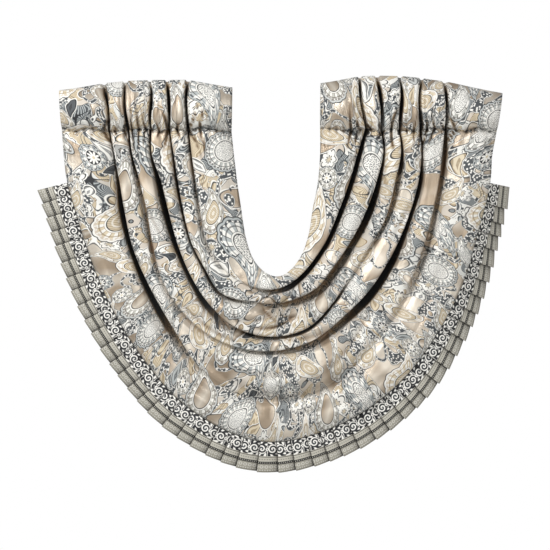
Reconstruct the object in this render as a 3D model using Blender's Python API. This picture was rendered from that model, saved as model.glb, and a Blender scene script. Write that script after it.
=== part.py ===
"""Swag valance: one deep gathered swag, a rod-pocket heading on each shoulder and a knife-pleated trim.

Metres, +Z up, front towards -Y. The origin is on the line of the curtain rod that carries it, midway
between the two headings. The tables are in millimetres.
"""

import math
from collections import namedtuple

import bmesh
import bpy
import numpy as np

MM = 0.001
FABRIC = 2.0
PIECE_GAP = 0.3

# Sections across the swag, from the left shoulder round the bottom to the right shoulder. Each is a
# straight line from the swag's outer edge to the edge of the opening. forward is how far its folds
# stand out in front of the rod, and turn is how far the trim turns back there, in degrees. Five
# creases run the whole way round: shares are their places along the section, from the outer edge at
# 0 to the opening at 1, and depths are how far they sink behind the folds beside them.
Section = namedtuple("Section", "outer_x outer_z inner_x inner_z forward turn shares depths")
SECTIONS = (
    Section(-535, -70, -111, -70, 22, 0, (.278, .392, .519, .631, .743), (24, 24, 24, 24, 24)),
    Section(-530, -127, -105, -129, 26, 0, (.291, .394, .508, .636, .743), (44, 24, 50, 46, 20)),
    Section(-522, -193, -97, -196, 30, 10, (.294, .411, .529, .638, .744), (52, 26, 58, 52, 18)),
    Section(-500, -269, -87, -264, 33, 12, (.271, .411, .531, .635, .738), (56, 24, 60, 54, 16)),
    Section(-467, -374, -76, -334, 40, 12, (.262, .396, .541, .644, .735), (58, 16, 60, 54, 12)),
    Section(-420, -489, -62, -380, 50, 10, (.264, .372, .550, .665, .767), (56, 10, 60, 52, 14)),
    Section(-340, -624, -45, -408, 62, 5, (.254, .385, .550, .670, .815), (46, 14, 56, 46, 20)),
    Section(-225, -754, -25, -426, 76, 0, (.223, .447, .568, .762, .865), (20, 26, 48, 36, 28)),
    Section(-25, -844, 3, -435, 84, 0, (.239, .530, .620, .815, .905), (8, 32, 38, 34, 44)),
    Section(172, -795, 27, -426, 76, 0, (.255, .516, .620, .800, .910), (8, 34, 36, 30, 52)),
    Section(315, -690, 50, -403, 62, 8, (.286, .515, .648, .763, .907), (10, 44, 28, 38, 56)),
    Section(405, -569, 67, -374, 50, 22, (.282, .478, .648, .752, .895), (14, 54, 18, 48, 56)),
    Section(462, -459, 81, -331, 40, 34, (.279, .449, .615, .722, .866), (18, 58, 16, 54, 56)),
    Section(502, -329, 92, -264, 33, 40, (.270, .413, .544, .661, .824), (22, 60, 22, 56, 56)),
    Section(535, -196, 105, -194, 30, 36, (.278, .400, .529, .639, .795), (26, 58, 26, 56, 54)),
    Section(540, -131, 110, -129, 26, 0, (.272, .405, .520, .625, .765), (24, 48, 26, 48, 46)),
    Section(552, -70, 110, -70, 22, 0, (.288, .430, .546, .645, .736), (24, 24, 24, 24, 24)),
)

# A crease is a trough. A deep one is narrower, and so is one by the gathers, and its floor leans
# under the fold above it.
SOFT_TROUGH = 16.0
TROUGH_NARROWING = 0.11
TROUGH_SHARE = 0.30
TROUGH_STEEPNESS = 3.2
TROUGH_LEAN = 0.32
GATHER_LENGTH = 130.0
GATHER_SHARE = 0.6
LIP = 1.3
FLOOR = 0.62
FOLD_CROWN = 0.17
CROWN_MOST = 17.0
UNEVEN_CROWN = 0.28
UNEVEN_LENGTH = 62.0
EDGE_FALL = 9.0

# A heading is a band folded over the rod. Each row is at a share of the way from the seam on the
# swag to the top fold, in front or behind.
HeadingRow = namedtuple("HeadingRow", "rise behind")
HEADING_ROWS = (
    HeadingRow(0.0, False),
    HeadingRow(0.10, False),
    HeadingRow(0.32, False),
    HeadingRow(0.62, False),
    HeadingRow(0.88, False),
    HeadingRow(0.975, False),
    HeadingRow(1.0, False),
    HeadingRow(0.96, True),
    HeadingRow(0.82, True),
    HeadingRow(0.45, True),
    HeadingRow(0.15, True),
    HeadingRow(0.02, True),
)
# A heading's top fold: its two ends, and the share along it and height of the outer end, of each
# crease and of the inner end.
HeadingTop = namedtuple("HeadingTop", "outer_x inner_x shares heights")
LEFT_TOP = HeadingTop(
    -542, -109, (0, 0.263, 0.380, 0.525, 0.625, 0.742, 1), (30, 48, 54, 56, 56, 57, 38)
)
RIGHT_TOP = HeadingTop(
    566, 111, (0, 0.318, 0.446, 0.561, 0.688, 0.786, 1), (23, 53, 61, 66, 67, 66, 48)
)
CREASE_DIP = 9.0
POCKET_HALF = 18.0
POCKET_FRONT_CROWN = 18.0
POCKET_BACK_CROWN = 12.0
HEADING_TROUGH = 8.0
PUFF_ROUNDNESS = 0.6
HEADING_CROWN = 0.4
SEAM_LAYERS_APART = 3.0

# The trim is one band laid in knife pleats, each lying over the next one down the right side.
PLEATS = 48
TRIM_WIDTH = 76.0
PLEAT_UNEVEN = 0.1
PLEAT_UNDERLAP = 14.0
PLEAT_LIFT = 6.4
PLEAT_OPENING = 1.7
LAYER_PITCH = 2.2
TRIM_FABRIC = 1.5
TOOTH = 4.0
TRIM_SEAM = 0.85
TRIM_START_ROW = 2.12
TRIM_END_ROW = 13.95

SWAG_ROWS = 60
SEAM_ROWS = 5
FINE_STEPS = 900


def smooth(knots, values, at):
    """A smooth curve through values at the knots, read at the places in at."""
    knots = np.asarray(knots, float)
    values = np.asarray(values, float)
    slopes = np.gradient(values, knots, axis=0)
    cell = np.clip(np.searchsorted(knots, at, side="right") - 1, 0, len(knots) - 2)
    width = knots[cell + 1] - knots[cell]
    t = (at - knots[cell]) / width
    if values.ndim > 1:
        t = t[..., None]
        width = width[..., None]
    rise = t * t * (3 - 2 * t)
    start = (t - 2 * t**2 + t**3) * width
    end = (t**3 - t**2) * width
    level = values[cell] * (1 - rise) + values[cell + 1] * rise
    return level + slopes[cell] * start + slopes[cell + 1] * end


def running_length(points):
    """The distance along a line of points, from its start to each of them."""
    steps = np.linalg.norm(np.diff(points, axis=0), axis=1)
    return np.concatenate([[0.0], np.cumsum(steps)])


LINES = np.array([section[:6] for section in SECTIONS], float)
SHARES = np.array([section.shares for section in SECTIONS])
DEPTHS = np.array([section.depths for section in SECTIONS], float)
KNOTS = running_length((LINES[:, 0:2] + LINES[:, 2:4]) / 2)
SEAM_Z = LINES[0, 1]


def trough_widths(places, depths, distance):
    """Half-width of each crease's trough, narrower where it is deep, gathered or close to another."""
    near = np.minimum(np.diff(places)[:-1], np.diff(places)[1:])
    loose = min(min(distance, KNOTS[-1] - distance) / GATHER_LENGTH, 1.0)
    free = SOFT_TROUGH - TROUGH_NARROWING * depths
    return np.minimum(free * (GATHER_SHARE + (1 - GATHER_SHARE) * loose), TROUGH_SHARE * near)


def column_places(places, widths):
    """Where the columns lie across a section: on each crease's floor and lips and each fold's top."""
    found = [places[0]]
    for k, (low, high) in enumerate(zip(places[:-1], places[1:])):
        start, end = low, high
        if k > 0:
            start = low + LIP * widths[k - 1]
            found += [low + FLOOR * widths[k - 1], start]
        if k < len(widths):
            end = high - LIP * widths[k]
        if 0 < k < len(widths):
            found.append((start + end) / 2)
        else:
            found += [start + (end - start) / 3, start + (end - start) * 2 / 3]
        if k < len(widths):
            found += [end, high - FLOOR * widths[k]]
    found.append(places[-1])
    return np.array(found)


def troughs(place, places, widths):
    """How deep a place is in each crease's trough, from 0 on the folds to 1 on its floor."""
    return np.exp(-(np.abs((place - places[1:-1]) / widths) ** TROUGH_STEEPNESS))


def fold_crown(place, places, distance):
    """How far a fold's rounded top stands in front of its two creases, unevenly along the fold."""
    k = np.clip(np.searchsorted(places, place, side="right") - 1, 0, len(places) - 2)
    span = places[k + 1] - places[k]
    share = (place - places[k]) / span
    uneven = 1 + UNEVEN_CROWN * math.sin(distance / UNEVEN_LENGTH + 1.9 * k)
    return min(FOLD_CROWN * span, CROWN_MOST) * 4 * share * (1 - share) * uneven


Cut = namedtuple("Cut", "outer along length places widths depths forward")


def section_at(distance):
    """The section at this distance round the swag: its line, and its creases' places, widths and depths."""
    line = smooth(KNOTS, LINES, distance)
    outer, inner = line[0:2], line[2:4]
    length = np.linalg.norm(inner - outer)
    places = np.concatenate([[0.0], smooth(KNOTS, SHARES, distance) * length, [length]])
    depths = smooth(KNOTS, DEPTHS, distance)
    widths = trough_widths(places, depths, distance)
    return Cut(outer, (inner - outer) / length, length, places, widths, depths, line[4])


def swag_row(distance):
    """The front surface of the swag along one section, as points from its outer edge to the opening."""
    cut = section_at(distance)
    points = []
    for place in column_places(cut.places, cut.widths):
        sunk = float(troughs(place, cut.places, cut.widths) @ cut.depths)
        share = place / cut.length
        fall = EDGE_FALL * (2 * share - 1) ** 4
        depth = fall - cut.forward - fold_crown(place, cut.places, distance) + sunk
        shift = TROUGH_LEAN * sunk * math.sin(math.pi * share) ** 0.5
        x, z = cut.outer + cut.along * (place + shift)
        points.append((x, depth, z))
    return np.array(points)


def swag_distances():
    """Where the rows lie round the swag: evenly by its outer edge, and closer by the two seams."""
    fine = np.linspace(0, KNOTS[-1], FINE_STEPS)
    run = running_length(smooth(KNOTS, LINES, fine)[:, 0:2])
    even = np.interp(np.linspace(0, run[-1], SWAG_ROWS), run, fine)
    near = np.linspace(0, even[2], SEAM_ROWS)
    far = np.linspace(even[-3], KNOTS[-1], SEAM_ROWS)
    return np.concatenate([near, even[3:-3], far])


def unit(vectors):
    """Vectors along the last axis, at length 1."""
    return vectors / np.maximum(np.linalg.norm(vectors, axis=-1, keepdims=True), 1e-9)


def sheet_back(front, thickness):
    """The back surface of a sheet, its thickness behind each point of the front one."""
    down = np.gradient(front, axis=0)
    across = np.gradient(front, axis=1)
    return front + unit(np.cross(across, down)) * thickness


def make_sheet(name, front, back, material):
    """A closed sheet of cloth between two grids of points, as one object."""
    mesh = bmesh.new()
    rows, columns = front.shape[:2]
    face = [[mesh.verts.new(point * MM) for point in row] for row in front]
    reverse = [[mesh.verts.new(point * MM) for point in row] for row in back]
    for i in range(rows - 1):
        for j in range(columns - 1):
            mesh.faces.new((face[i][j], face[i + 1][j], face[i + 1][j + 1], face[i][j + 1]))
            mesh.faces.new((reverse[i][j], reverse[i][j + 1], reverse[i + 1][j + 1], reverse[i + 1][j]))
    rim = [(0, j) for j in range(columns - 1)]
    rim += [(i, columns - 1) for i in range(rows - 1)]
    rim += [(rows - 1, j) for j in range(columns - 1, 0, -1)]
    rim += [(i, 0) for i in range(rows - 1, 0, -1)]
    for (i, j), (m, n) in zip(rim, rim[1:] + rim[:1]):
        mesh.faces.new((face[i][j], face[m][n], reverse[m][n], reverse[i][j]))
    bmesh.ops.triangulate(mesh, faces=mesh.faces)
    bmesh.ops.recalc_face_normals(mesh, faces=mesh.faces)
    data = bpy.data.meshes.new(name)
    mesh.to_mesh(data)
    mesh.free()
    data.shade_smooth()
    data.set_sharp_from_angle(angle=math.radians(60))
    data.materials.append(material)
    piece = bpy.data.objects.new(name, data)
    bpy.context.scene.collection.objects.link(piece)
    return piece


def make_material(name, colour, roughness):
    """A woven cloth's plain material."""
    material = bpy.data.materials.new(name)
    material.use_nodes = True
    shader = material.node_tree.nodes["Principled BSDF"]
    shader.inputs["Base Color"].default_value = (*colour, 1.0)
    shader.inputs["Roughness"].default_value = roughness
    shader.inputs["Metallic"].default_value = 0.0
    return material


def make_swag(material):
    """The draped panel, from the seam under one heading round to the seam under the other."""
    front = np.array([swag_row(distance) for distance in swag_distances()])
    front[[0, -1], :, 2] = SEAM_Z - PIECE_GAP
    back = sheet_back(front, FABRIC)
    back[[0, -1], :, 2] = front[[0, -1], :, 2]
    make_sheet("swag_panel", front, back, material)
    return front


def heading_point(seam_point, top, share, trough, crown, row):
    """One point of a heading, over the seam point at the same place across the shoulder."""
    top_x = top.outer_x + (top.inner_x - top.outer_x) * share
    top_z = np.interp(share, top.shares, top.heights) - CREASE_DIP * trough
    x = seam_point[0] + (top_x - seam_point[0]) * row.rise
    z = SEAM_Z + (top_z - SEAM_Z) * row.rise
    puff = max(math.sin(math.pi * row.rise), 0.0) ** PUFF_ROUNDNESS
    level = seam_point[1] * (1 - row.rise)
    if row.behind:
        level = seam_point[1] * (1 - row.rise) ** 2 + SEAM_LAYERS_APART * (1 - row.rise)
        return x, level + puff * (POCKET_HALF + POCKET_BACK_CROWN * (1 - trough)), z
    return x, level - puff * (POCKET_HALF + POCKET_FRONT_CROWN * (1 - trough) + crown), z


def make_heading(name, seam, distance, top, material):
    """A gathered band folded over the rod and sewn, both edges together, to the top of the swag."""
    cut = section_at(distance)
    columns = column_places(cut.places, cut.widths)
    front = np.zeros((len(HEADING_ROWS), len(columns), 3))
    for j, place in enumerate(columns):
        trough = float(troughs(place, cut.places, HEADING_TROUGH).max())
        crown = HEADING_CROWN * fold_crown(place, cut.places, distance)
        share = float(np.interp(place, cut.places, top.shares))
        for i, row in enumerate(HEADING_ROWS):
            front[i, j] = heading_point(seam[j], top, share, trough, crown, row)
    back = sheet_back(front, -FABRIC)
    back[0, :, 2] = front[0, :, 2]
    return make_sheet(name, front, back, material)


def pleat_starts(length):
    """Where each pleat starts along the trim's seam, in uneven steps, and where the last one ends."""
    weights = [1 + PLEAT_UNEVEN * (math.sin(2.1 * i) + 0.6 * math.sin(5.3 * i)) for i in range(PLEATS)]
    return np.concatenate([[0.0], np.cumsum(weights)]) * length / sum(weights)


def pleat_path(length, opening):
    """The pleated band seen end on: places along its seam, levels behind the pleats' faces, and reach."""
    starts = pleat_starts(length - PLEAT_UNDERLAP)
    path = []
    for start, end in zip(starts[:-1], starts[1:]):
        fold = end + PLEAT_UNDERLAP
        path.append((start, PLEAT_LIFT * opening, -TOOTH))
        path.append(((start + fold) / 2, PLEAT_LIFT * opening / 2, 0.0))
        path.append((fold, 0.0, TOOTH))
        path.append((fold, LAYER_PITCH, TOOTH))
        path.append((end, PLEAT_LIFT * opening - LAYER_PITCH, -TOOTH))
    return np.array(path[:-2])


def band_side(path, side):
    """One side of a band of cloth that follows the path, half its thickness away with mitred corners."""
    legs = unit(np.diff(path[:, 0:2], axis=0))
    normals = np.stack([-legs[:, 1], legs[:, 0]], axis=1)
    before = np.concatenate([normals[:1], normals])
    after = np.concatenate([normals, normals[-1:]])
    mitre = unit(before + after)
    mitre /= np.maximum(np.sum(mitre * after, axis=1), 0.5)[:, None]
    shifted = path.copy()
    shifted[:, 0:2] += mitre * side * TRIM_FABRIC / 2
    return shifted


def trim_seam(front):
    """The swag's outer edge from the right shoulder round to the left, with the trim's directions along it."""
    low, high = np.interp((TRIM_START_ROW, TRIM_END_ROW), range(len(KNOTS)), KNOTS)
    distances = np.linspace(high, low, FINE_STEPS)
    edge = front[:, 0] + np.array([0.0, FABRIC / 2, 0.0])
    points = np.stack([np.interp(distances, swag_distances(), edge[:, axis]) for axis in range(3)], axis=1)
    lines = smooth(KNOTS, LINES, distances)
    ahead = unit(np.gradient(lines[:, 0:2], axis=0))
    outward = np.stack([-ahead[:, 1], ahead[:, 0]], axis=1)
    return running_length(points), np.column_stack([points, ahead, outward, np.radians(lines[:, 5])])


def trim_point(seam, along, level, reach):
    """A point of the trim: along the seam, this level behind its faces and this far out from the seam."""
    run, table = seam
    here = min(max(along, 0.0), run[-1])
    x, y, z, ahead_x, ahead_z, out_x, out_z, turn = (np.interp(here, run, column) for column in table.T)
    scale = math.hypot(out_x, out_z)
    out_x, out_z = out_x / scale, out_z / scale
    past = (along - here) / scale
    behind = level - PLEAT_LIFT / 2
    flat = reach * math.cos(turn) - behind * math.sin(turn)
    deep = reach * math.sin(turn) + behind * math.cos(turn)
    return x + ahead_x * past + out_x * flat, y + deep, z + ahead_z * past + out_z * flat


def make_trim(front, material):
    """The knife-pleated band along the lower edge of the swag, sewn flat at its seam and open at its hem."""
    seam = trim_seam(front)
    sides = []
    for side in (-1, 1):
        root = band_side(pleat_path(seam[0][-1], 1.0), side)
        hem = band_side(pleat_path(seam[0][-1], PLEAT_OPENING), side)
        rows = []
        for (along, level, _), (hem_along, hem_level, tooth) in zip(root, hem):
            rows.append(
                [
                    trim_point(seam, along, level, TRIM_SEAM),
                    trim_point(seam, hem_along, hem_level, TRIM_SEAM + TRIM_WIDTH + tooth),
                ]
            )
        sides.append(np.array(rows))
    return make_sheet("pleated_trim", sides[0], sides[1], material)


def main():
    """Clears the scene and makes the four pieces."""
    for leftover in list(bpy.data.objects):
        bpy.data.objects.remove(leftover, do_unlink=True)
    print_cloth = make_material("printed_cloth", (0.56, 0.52, 0.45), 0.55)
    trim_cloth = make_material("trim_cloth", (0.50, 0.48, 0.43), 0.7)
    front = make_swag(print_cloth)
    make_heading("heading_left", front[0], 0.0, LEFT_TOP, print_cloth)
    make_heading("heading_right", front[-1], KNOTS[-1], RIGHT_TOP, print_cloth)
    make_trim(front, trim_cloth)


main()
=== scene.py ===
"""Looks of the swag valance: its draped print, gathered headings, pleated border, stitching and studio.

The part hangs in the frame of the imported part: metres, +Z up, front towards -Y. The tables and the
cloth classes' sizes are in millimetres, and the shapes become metres when a mesh is made. Uneven
waves are sines of pitches that don't fall in step, or rumples from a seeded lattice.
"""

import logging
import math
from collections import namedtuple
from dataclasses import dataclass
from enum import Enum
from typing import ClassVar

import bpy
import numpy as np
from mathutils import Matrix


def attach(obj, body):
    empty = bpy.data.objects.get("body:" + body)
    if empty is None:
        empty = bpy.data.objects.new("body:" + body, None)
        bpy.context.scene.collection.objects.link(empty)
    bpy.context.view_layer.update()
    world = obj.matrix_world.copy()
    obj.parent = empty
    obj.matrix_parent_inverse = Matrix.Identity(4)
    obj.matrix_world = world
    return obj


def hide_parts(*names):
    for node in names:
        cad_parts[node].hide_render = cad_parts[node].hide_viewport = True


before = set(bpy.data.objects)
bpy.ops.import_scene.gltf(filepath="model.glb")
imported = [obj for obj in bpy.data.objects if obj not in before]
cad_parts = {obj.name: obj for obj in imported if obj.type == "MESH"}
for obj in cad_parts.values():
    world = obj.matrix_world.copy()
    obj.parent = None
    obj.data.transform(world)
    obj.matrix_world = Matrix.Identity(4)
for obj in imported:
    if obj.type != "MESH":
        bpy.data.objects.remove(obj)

MM = 0.001
FINE_STEPS = 900
LATTICE = 64
LOG = logging.getLogger("swag")
PRINT_SLOT = "printed_cloth"
TRIM_SLOT = "trim_cloth"

# Where the stitches run: the panel's columns beside the opening's hem and beside the border, and the
# headings' row above the seam. They lie this far proud of the cloth, in millimetres.
HEM_COLUMN = -5
SEAM_COLUMN = 1
SEAM_ROW = 3
STITCH_LIFT = 0.4

# The sections across the swag, as in the part: a straight line from the outer edge to the opening, how
# far its folds stand forward, how far the border turns back there in degrees, and the places and
# depths of five creases that run the whole way round.
Section = namedtuple("Section", "outer_x outer_z inner_x inner_z forward turn shares depths")
SECTIONS = (
    Section(-535, -70, -111, -70, 22, 0, (0.278, 0.392, 0.519, 0.631, 0.743), (24, 24, 24, 24, 24)),
    Section(-530, -127, -105, -129, 26, 0, (0.291, 0.394, 0.508, 0.636, 0.743), (44, 24, 50, 46, 20)),
    Section(-522, -193, -97, -196, 30, 10, (0.294, 0.411, 0.529, 0.638, 0.744), (52, 26, 58, 52, 18)),
    Section(-500, -269, -87, -264, 33, 12, (0.271, 0.411, 0.531, 0.635, 0.738), (56, 24, 60, 54, 16)),
    Section(-467, -374, -76, -334, 40, 12, (0.262, 0.396, 0.541, 0.644, 0.735), (58, 16, 60, 54, 12)),
    Section(-420, -489, -62, -380, 50, 10, (0.264, 0.372, 0.550, 0.665, 0.767), (56, 10, 60, 52, 14)),
    Section(-340, -624, -45, -408, 62, 5, (0.254, 0.385, 0.550, 0.670, 0.815), (46, 14, 56, 46, 20)),
    Section(-225, -754, -25, -426, 76, 0, (0.223, 0.447, 0.568, 0.762, 0.865), (20, 26, 48, 36, 28)),
    Section(-25, -844, 3, -435, 84, 0, (0.239, 0.530, 0.620, 0.815, 0.905), (8, 32, 38, 34, 44)),
    Section(172, -795, 27, -426, 76, 0, (0.255, 0.516, 0.620, 0.800, 0.910), (8, 34, 36, 30, 52)),
    Section(315, -690, 50, -403, 62, 8, (0.286, 0.515, 0.648, 0.763, 0.907), (10, 44, 28, 38, 56)),
    Section(405, -569, 67, -374, 50, 22, (0.282, 0.478, 0.648, 0.752, 0.895), (14, 54, 18, 48, 56)),
    Section(462, -459, 81, -331, 40, 34, (0.279, 0.449, 0.615, 0.722, 0.866), (18, 58, 16, 54, 56)),
    Section(502, -329, 92, -264, 33, 40, (0.270, 0.413, 0.544, 0.661, 0.824), (22, 60, 22, 56, 56)),
    Section(535, -196, 105, -194, 30, 36, (0.278, 0.400, 0.529, 0.639, 0.795), (26, 58, 26, 56, 54)),
    Section(540, -131, 110, -129, 26, 0, (0.272, 0.405, 0.520, 0.625, 0.765), (24, 48, 26, 48, 46)),
    Section(552, -70, 110, -70, 22, 0, (0.288, 0.430, 0.546, 0.645, 0.736), (24, 24, 24, 24, 24)),
)


# The same five creases as they look at each of those sections: how dark the painted shade in each
# one is, from 0 to 1, which also scales its depth, and how wide, in millimetres.
Look = namedtuple("Look", "gloom widths")
LOOKS = (
    Look((0.8, 0.8, 1.0, 0.8, 0.8), (5, 5, 7, 4, 5)),
    Look((0.55, 0.95, 1.0, 1.0, 0.6), (4, 6, 6, 6, 6)),
    Look((0.75, 0.52, 0.95, 1.0, 0.45), (9, 10, 15, 9, 8)),
    Look((0.95, 0.5, 1.0, 1.0, 0.36), (15, 12, 17, 8, 10)),
    Look((1.0, 0.5, 1.0, 1.0, 0.3), (12, 10, 14, 5, 10)),
    Look((1.0, 0.3, 1.0, 1.0, 0.15), (15, 11, 12, 7, 10)),
    Look((0.72, 0.34, 0.95, 0.72, 0.1), (18, 14, 15, 9, 12)),
    Look((0.0, 0.14, 0.3, 0.1, 0.16), (16, 18, 18, 16, 14)),
    Look((0.0, 0.34, 0.6, 0.34, 0.6), (16, 12, 9, 13, 12)),
    Look((0.0, 0.45, 0.95, 0.56, 1.0), (16, 20, 8, 20, 13)),
    Look((0.05, 0.7, 0.8, 0.58, 1.0), (18, 20, 6, 22, 12)),
    Look((0.18, 1.0, 0.15, 0.6, 1.0), (20, 20, 9, 21, 11)),
    Look((0.32, 1.0, 0.25, 0.62, 1.0), (20, 18, 12, 17, 11)),
    Look((0.42, 1.0, 0.48, 0.86, 1.0), (18, 12, 12, 18, 13)),
    Look((0.52, 1.0, 0.52, 1.0, 1.0), (14, 11, 16, 13, 13)),
    Look((0.72, 1.0, 0.9, 1.0, 1.0), (14, 5, 8, 6, 12)),
    Look((0.75, 1.0, 0.7, 1.0, 1.0), (6, 5, 5, 6, 7)),
)


def smooth(knots: np.ndarray, values: np.ndarray, at: np.ndarray) -> np.ndarray:
    """A smooth curve through values at the knots.

    Args:
        knots: The places of the values, rising.
        values: One value or row of values for each knot.
        at: The places to read.

    Returns:
        The curve's values there.
    """
    slopes = np.gradient(values, knots, axis=0)
    cell = np.clip(np.searchsorted(knots, at, side="right") - 1, 0, len(knots) - 2)
    width = knots[cell + 1] - knots[cell]
    t = (at - knots[cell]) / width
    if values.ndim > 1:
        t = np.asarray(t)[..., None]
        width = np.asarray(width)[..., None]
    rise = t * t * (3 - 2 * t)
    start = (t - 2 * t**2 + t**3) * width
    end = (t**3 - t**2) * width
    level = values[cell] * (1 - rise) + values[cell + 1] * rise
    return level + slopes[cell] * start + slopes[cell + 1] * end


def running_length(points: np.ndarray) -> np.ndarray:
    """The distance along the points, from the first to each of them."""
    steps = np.linalg.norm(np.diff(points, axis=0), axis=-1)
    return np.concatenate([np.zeros((1, *steps.shape[1:])), np.cumsum(steps, axis=0)])


def unit(vectors: np.ndarray) -> np.ndarray:
    """The vectors along the last axis, at length 1."""
    return vectors / np.maximum(np.linalg.norm(vectors, axis=-1, keepdims=True), 1e-9)


def rumple(along: np.ndarray, across: np.ndarray, seed: int) -> np.ndarray:
    """Soft uneven waves from -1 to 1, from a seeded lattice of heights.

    Args:
        along: Places one way, in waves.
        across: Places the other way, in waves.
        seed: Which lattice.

    Returns:
        The height at each place.
    """
    lattice = np.random.RandomState(seed).uniform(-1, 1, (LATTICE, LATTICE))
    i, j = np.floor(along).astype(int), np.floor(across).astype(int)
    s, t = along - i, across - j
    s, t = s * s * (3 - 2 * s), t * t * (3 - 2 * t)
    i, next_i, j, next_j = (cell % LATTICE for cell in (i, i + 1, j, j + 1))
    near = lattice[i, j] * (1 - s) + lattice[next_i, j] * s
    far = lattice[i, next_j] * (1 - s) + lattice[next_i, next_j] * s
    return near * (1 - t) + far * t


# One section of the swag: its ends, its direction and length, its creases' places, widths, depths and
# darkness of painted shade, and how far its folds stand forward.
Cut = namedtuple("Cut", "outer inner along length places widths depths gloom forward")


@dataclass
class SwagForm:
    """The hanging shape that the panel, the headings and the border share.

    A crease whose painted shade is darker than crisp_from starts to have a crisp edge. The rest of its
    painted shade lies a little beyond its middle and fades faster on the inner side.
    """

    trough_share: float = 0.36
    narrowest: float = 2.0
    steepness: float = 5.0
    crisp_from: float = 0.6
    crisp_over: float = 0.3
    crisp_edge: float = 1.12
    crisp_soft: float = 0.16
    shade_middle: float = 0.35
    shade_inner: float = 0.7
    shade_outer: float = 1.25
    softness: float = 1.9
    flank: float = 0.22
    flank_reach: float = 2.1
    lean: float = 0.32
    lip: float = 1.3
    shallow: float = 0.2
    fold_crown: float = 0.17
    crown_most: float = 17.0
    uneven_crown: float = 0.28
    uneven_length: float = 62.0
    edge_fall: float = 9.0
    fabric: float = 2.0
    wander: float = 4.0

    def __post_init__(self) -> None:
        """Reads the table of sections."""
        self.lines = np.array([section[:6] for section in SECTIONS], float)
        self.shares = np.array([section.shares for section in SECTIONS])
        self.depths = np.array([section.depths for section in SECTIONS], float)
        self.gloom = np.array([look.gloom for look in LOOKS])
        self.widths = np.array([look.widths for look in LOOKS], float)
        self.knots = running_length((self.lines[:, 0:2] + self.lines[:, 2:4]) / 2)
        self.seam_z = self.lines[0, 1]
        self.end = self.knots[-1]

    def cut(self, distance: float) -> Cut:
        """The section at a distance round the swag.

        Args:
            distance: How far round from the left seam, in millimetres.

        Returns:
            Its line and its creases.
        """
        line = smooth(self.knots, self.lines, distance)
        outer, inner = line[0:2], line[2:4]
        length = np.linalg.norm(inner - outer)
        shares = smooth(self.knots, self.shares, distance)
        places = np.concatenate([[0.0], shares * length, [length]])
        depths = smooth(self.knots, self.depths, distance)
        near = np.minimum(np.diff(places)[:-1], np.diff(places)[1:])
        gloom = np.clip(smooth(self.knots, self.gloom, distance), 0, 1)
        widths = smooth(self.knots, self.widths, distance) / 2
        widths = np.clip(widths, self.narrowest, self.trough_share * near)
        depths = depths * (self.shallow + (1 - self.shallow) * gloom)
        along = (inner - outer) / length
        return Cut(outer, inner, along, length, places, widths, depths, gloom, line[4])

    def trough(self, spots: np.ndarray, cut: Cut) -> np.ndarray:
        """How deep each spot sinks below the folds, for each crease, from 0 to 1."""
        away = np.abs((spots[:, None] - cut.places[None, 1:-1]) / cut.widths)
        return np.exp(-(away**self.steepness))

    def crown(self, spots: np.ndarray, cut: Cut, distance: float) -> np.ndarray:
        """How far each fold's rounded top stands forward.

        Args:
            spots: Places along the section.
            cut: The section.
            distance: How far round it lies.

        Returns:
            The height of the fold at each spot, in millimetres.
        """
        k = np.clip(np.searchsorted(cut.places, spots, side="right") - 1, 0, len(cut.places) - 2)
        span = cut.places[k + 1] - cut.places[k]
        share = (spots - cut.places[k]) / span
        uneven = 1 + self.uneven_crown * np.sin(distance / self.uneven_length + 1.9 * k)
        return np.minimum(self.fold_crown * span, self.crown_most) * 4 * share * (1 - share) * uneven

    def row(self, distance: float, spots: np.ndarray, cut: Cut) -> tuple[np.ndarray, ...]:
        """The front surface along one section.

        Args:
            distance: How far round from the left seam, in millimetres.
            spots: Places along the section, from the outer edge.
            cut: The section there.

        Returns:
            The points, how far each is sunk in a crease, and how dark the painted shade is there.
        """
        trough = self.trough(spots, cut)
        sunk = trough @ cut.depths
        across = (spots[:, None] - cut.places[None, 1:-1]) / cut.widths
        away = np.abs(across)
        # Painted crease shade: a crisp edge on the darkest creases, a soft fade on the others, and a
        # faint painted shade over the flanks beside them.
        crisp = np.clip((cut.gloom - self.crisp_from) / self.crisp_over, 0, 1)
        edge = np.clip((self.crisp_edge - away) / self.crisp_soft, 0, 1)
        off = across - self.shade_middle
        reach = np.where(off > 0, self.shade_inner, self.shade_outer)
        fade = np.exp(-np.abs(off / reach) ** self.softness)
        flank = self.flank * np.exp(-((away / self.flank_reach) ** 2))
        gloom = (cut.gloom * np.maximum(edge * crisp + fade * (1 - crisp), flank)).max(axis=1)
        share = spots / cut.length
        fall = self.edge_fall * (2 * share - 1) ** 4
        depth = fall - cut.forward - self.crown(spots, cut, distance) + sunk
        shift = self.lean * sunk * np.sin(math.pi * np.clip(share, 0, 1)) ** 0.5
        flat = cut.outer + cut.along * (spots + shift)[:, None]
        return np.column_stack([flat[:, 0], depth, flat[:, 1]]), sunk, gloom

    def seam_wander(self, x: np.ndarray) -> np.ndarray:
        """How far the gathers lift the seam under a heading, in millimetres."""
        return self.wander * np.sin(x / 15.0 + 1.5 * np.sin(x / 41.0))

    def even_distances(self, rows: int) -> np.ndarray:
        """Where the rows lie.

        Args:
            rows: How many there are.

        Returns:
            Distances round the swag at even steps along its outer edge.
        """
        fine = np.linspace(0, self.end, FINE_STEPS)
        run = running_length(smooth(self.knots, self.lines, fine)[:, 0:2])
        return np.interp(np.linspace(0, run[-1], rows), run, fine)


FORM = SwagForm()


class Fill(Enum):
    """What the middle of a printed motif holds."""

    STIPPLE = 0
    HATCH = 1
    SATIN = 2
    DAISY = 3


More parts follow.
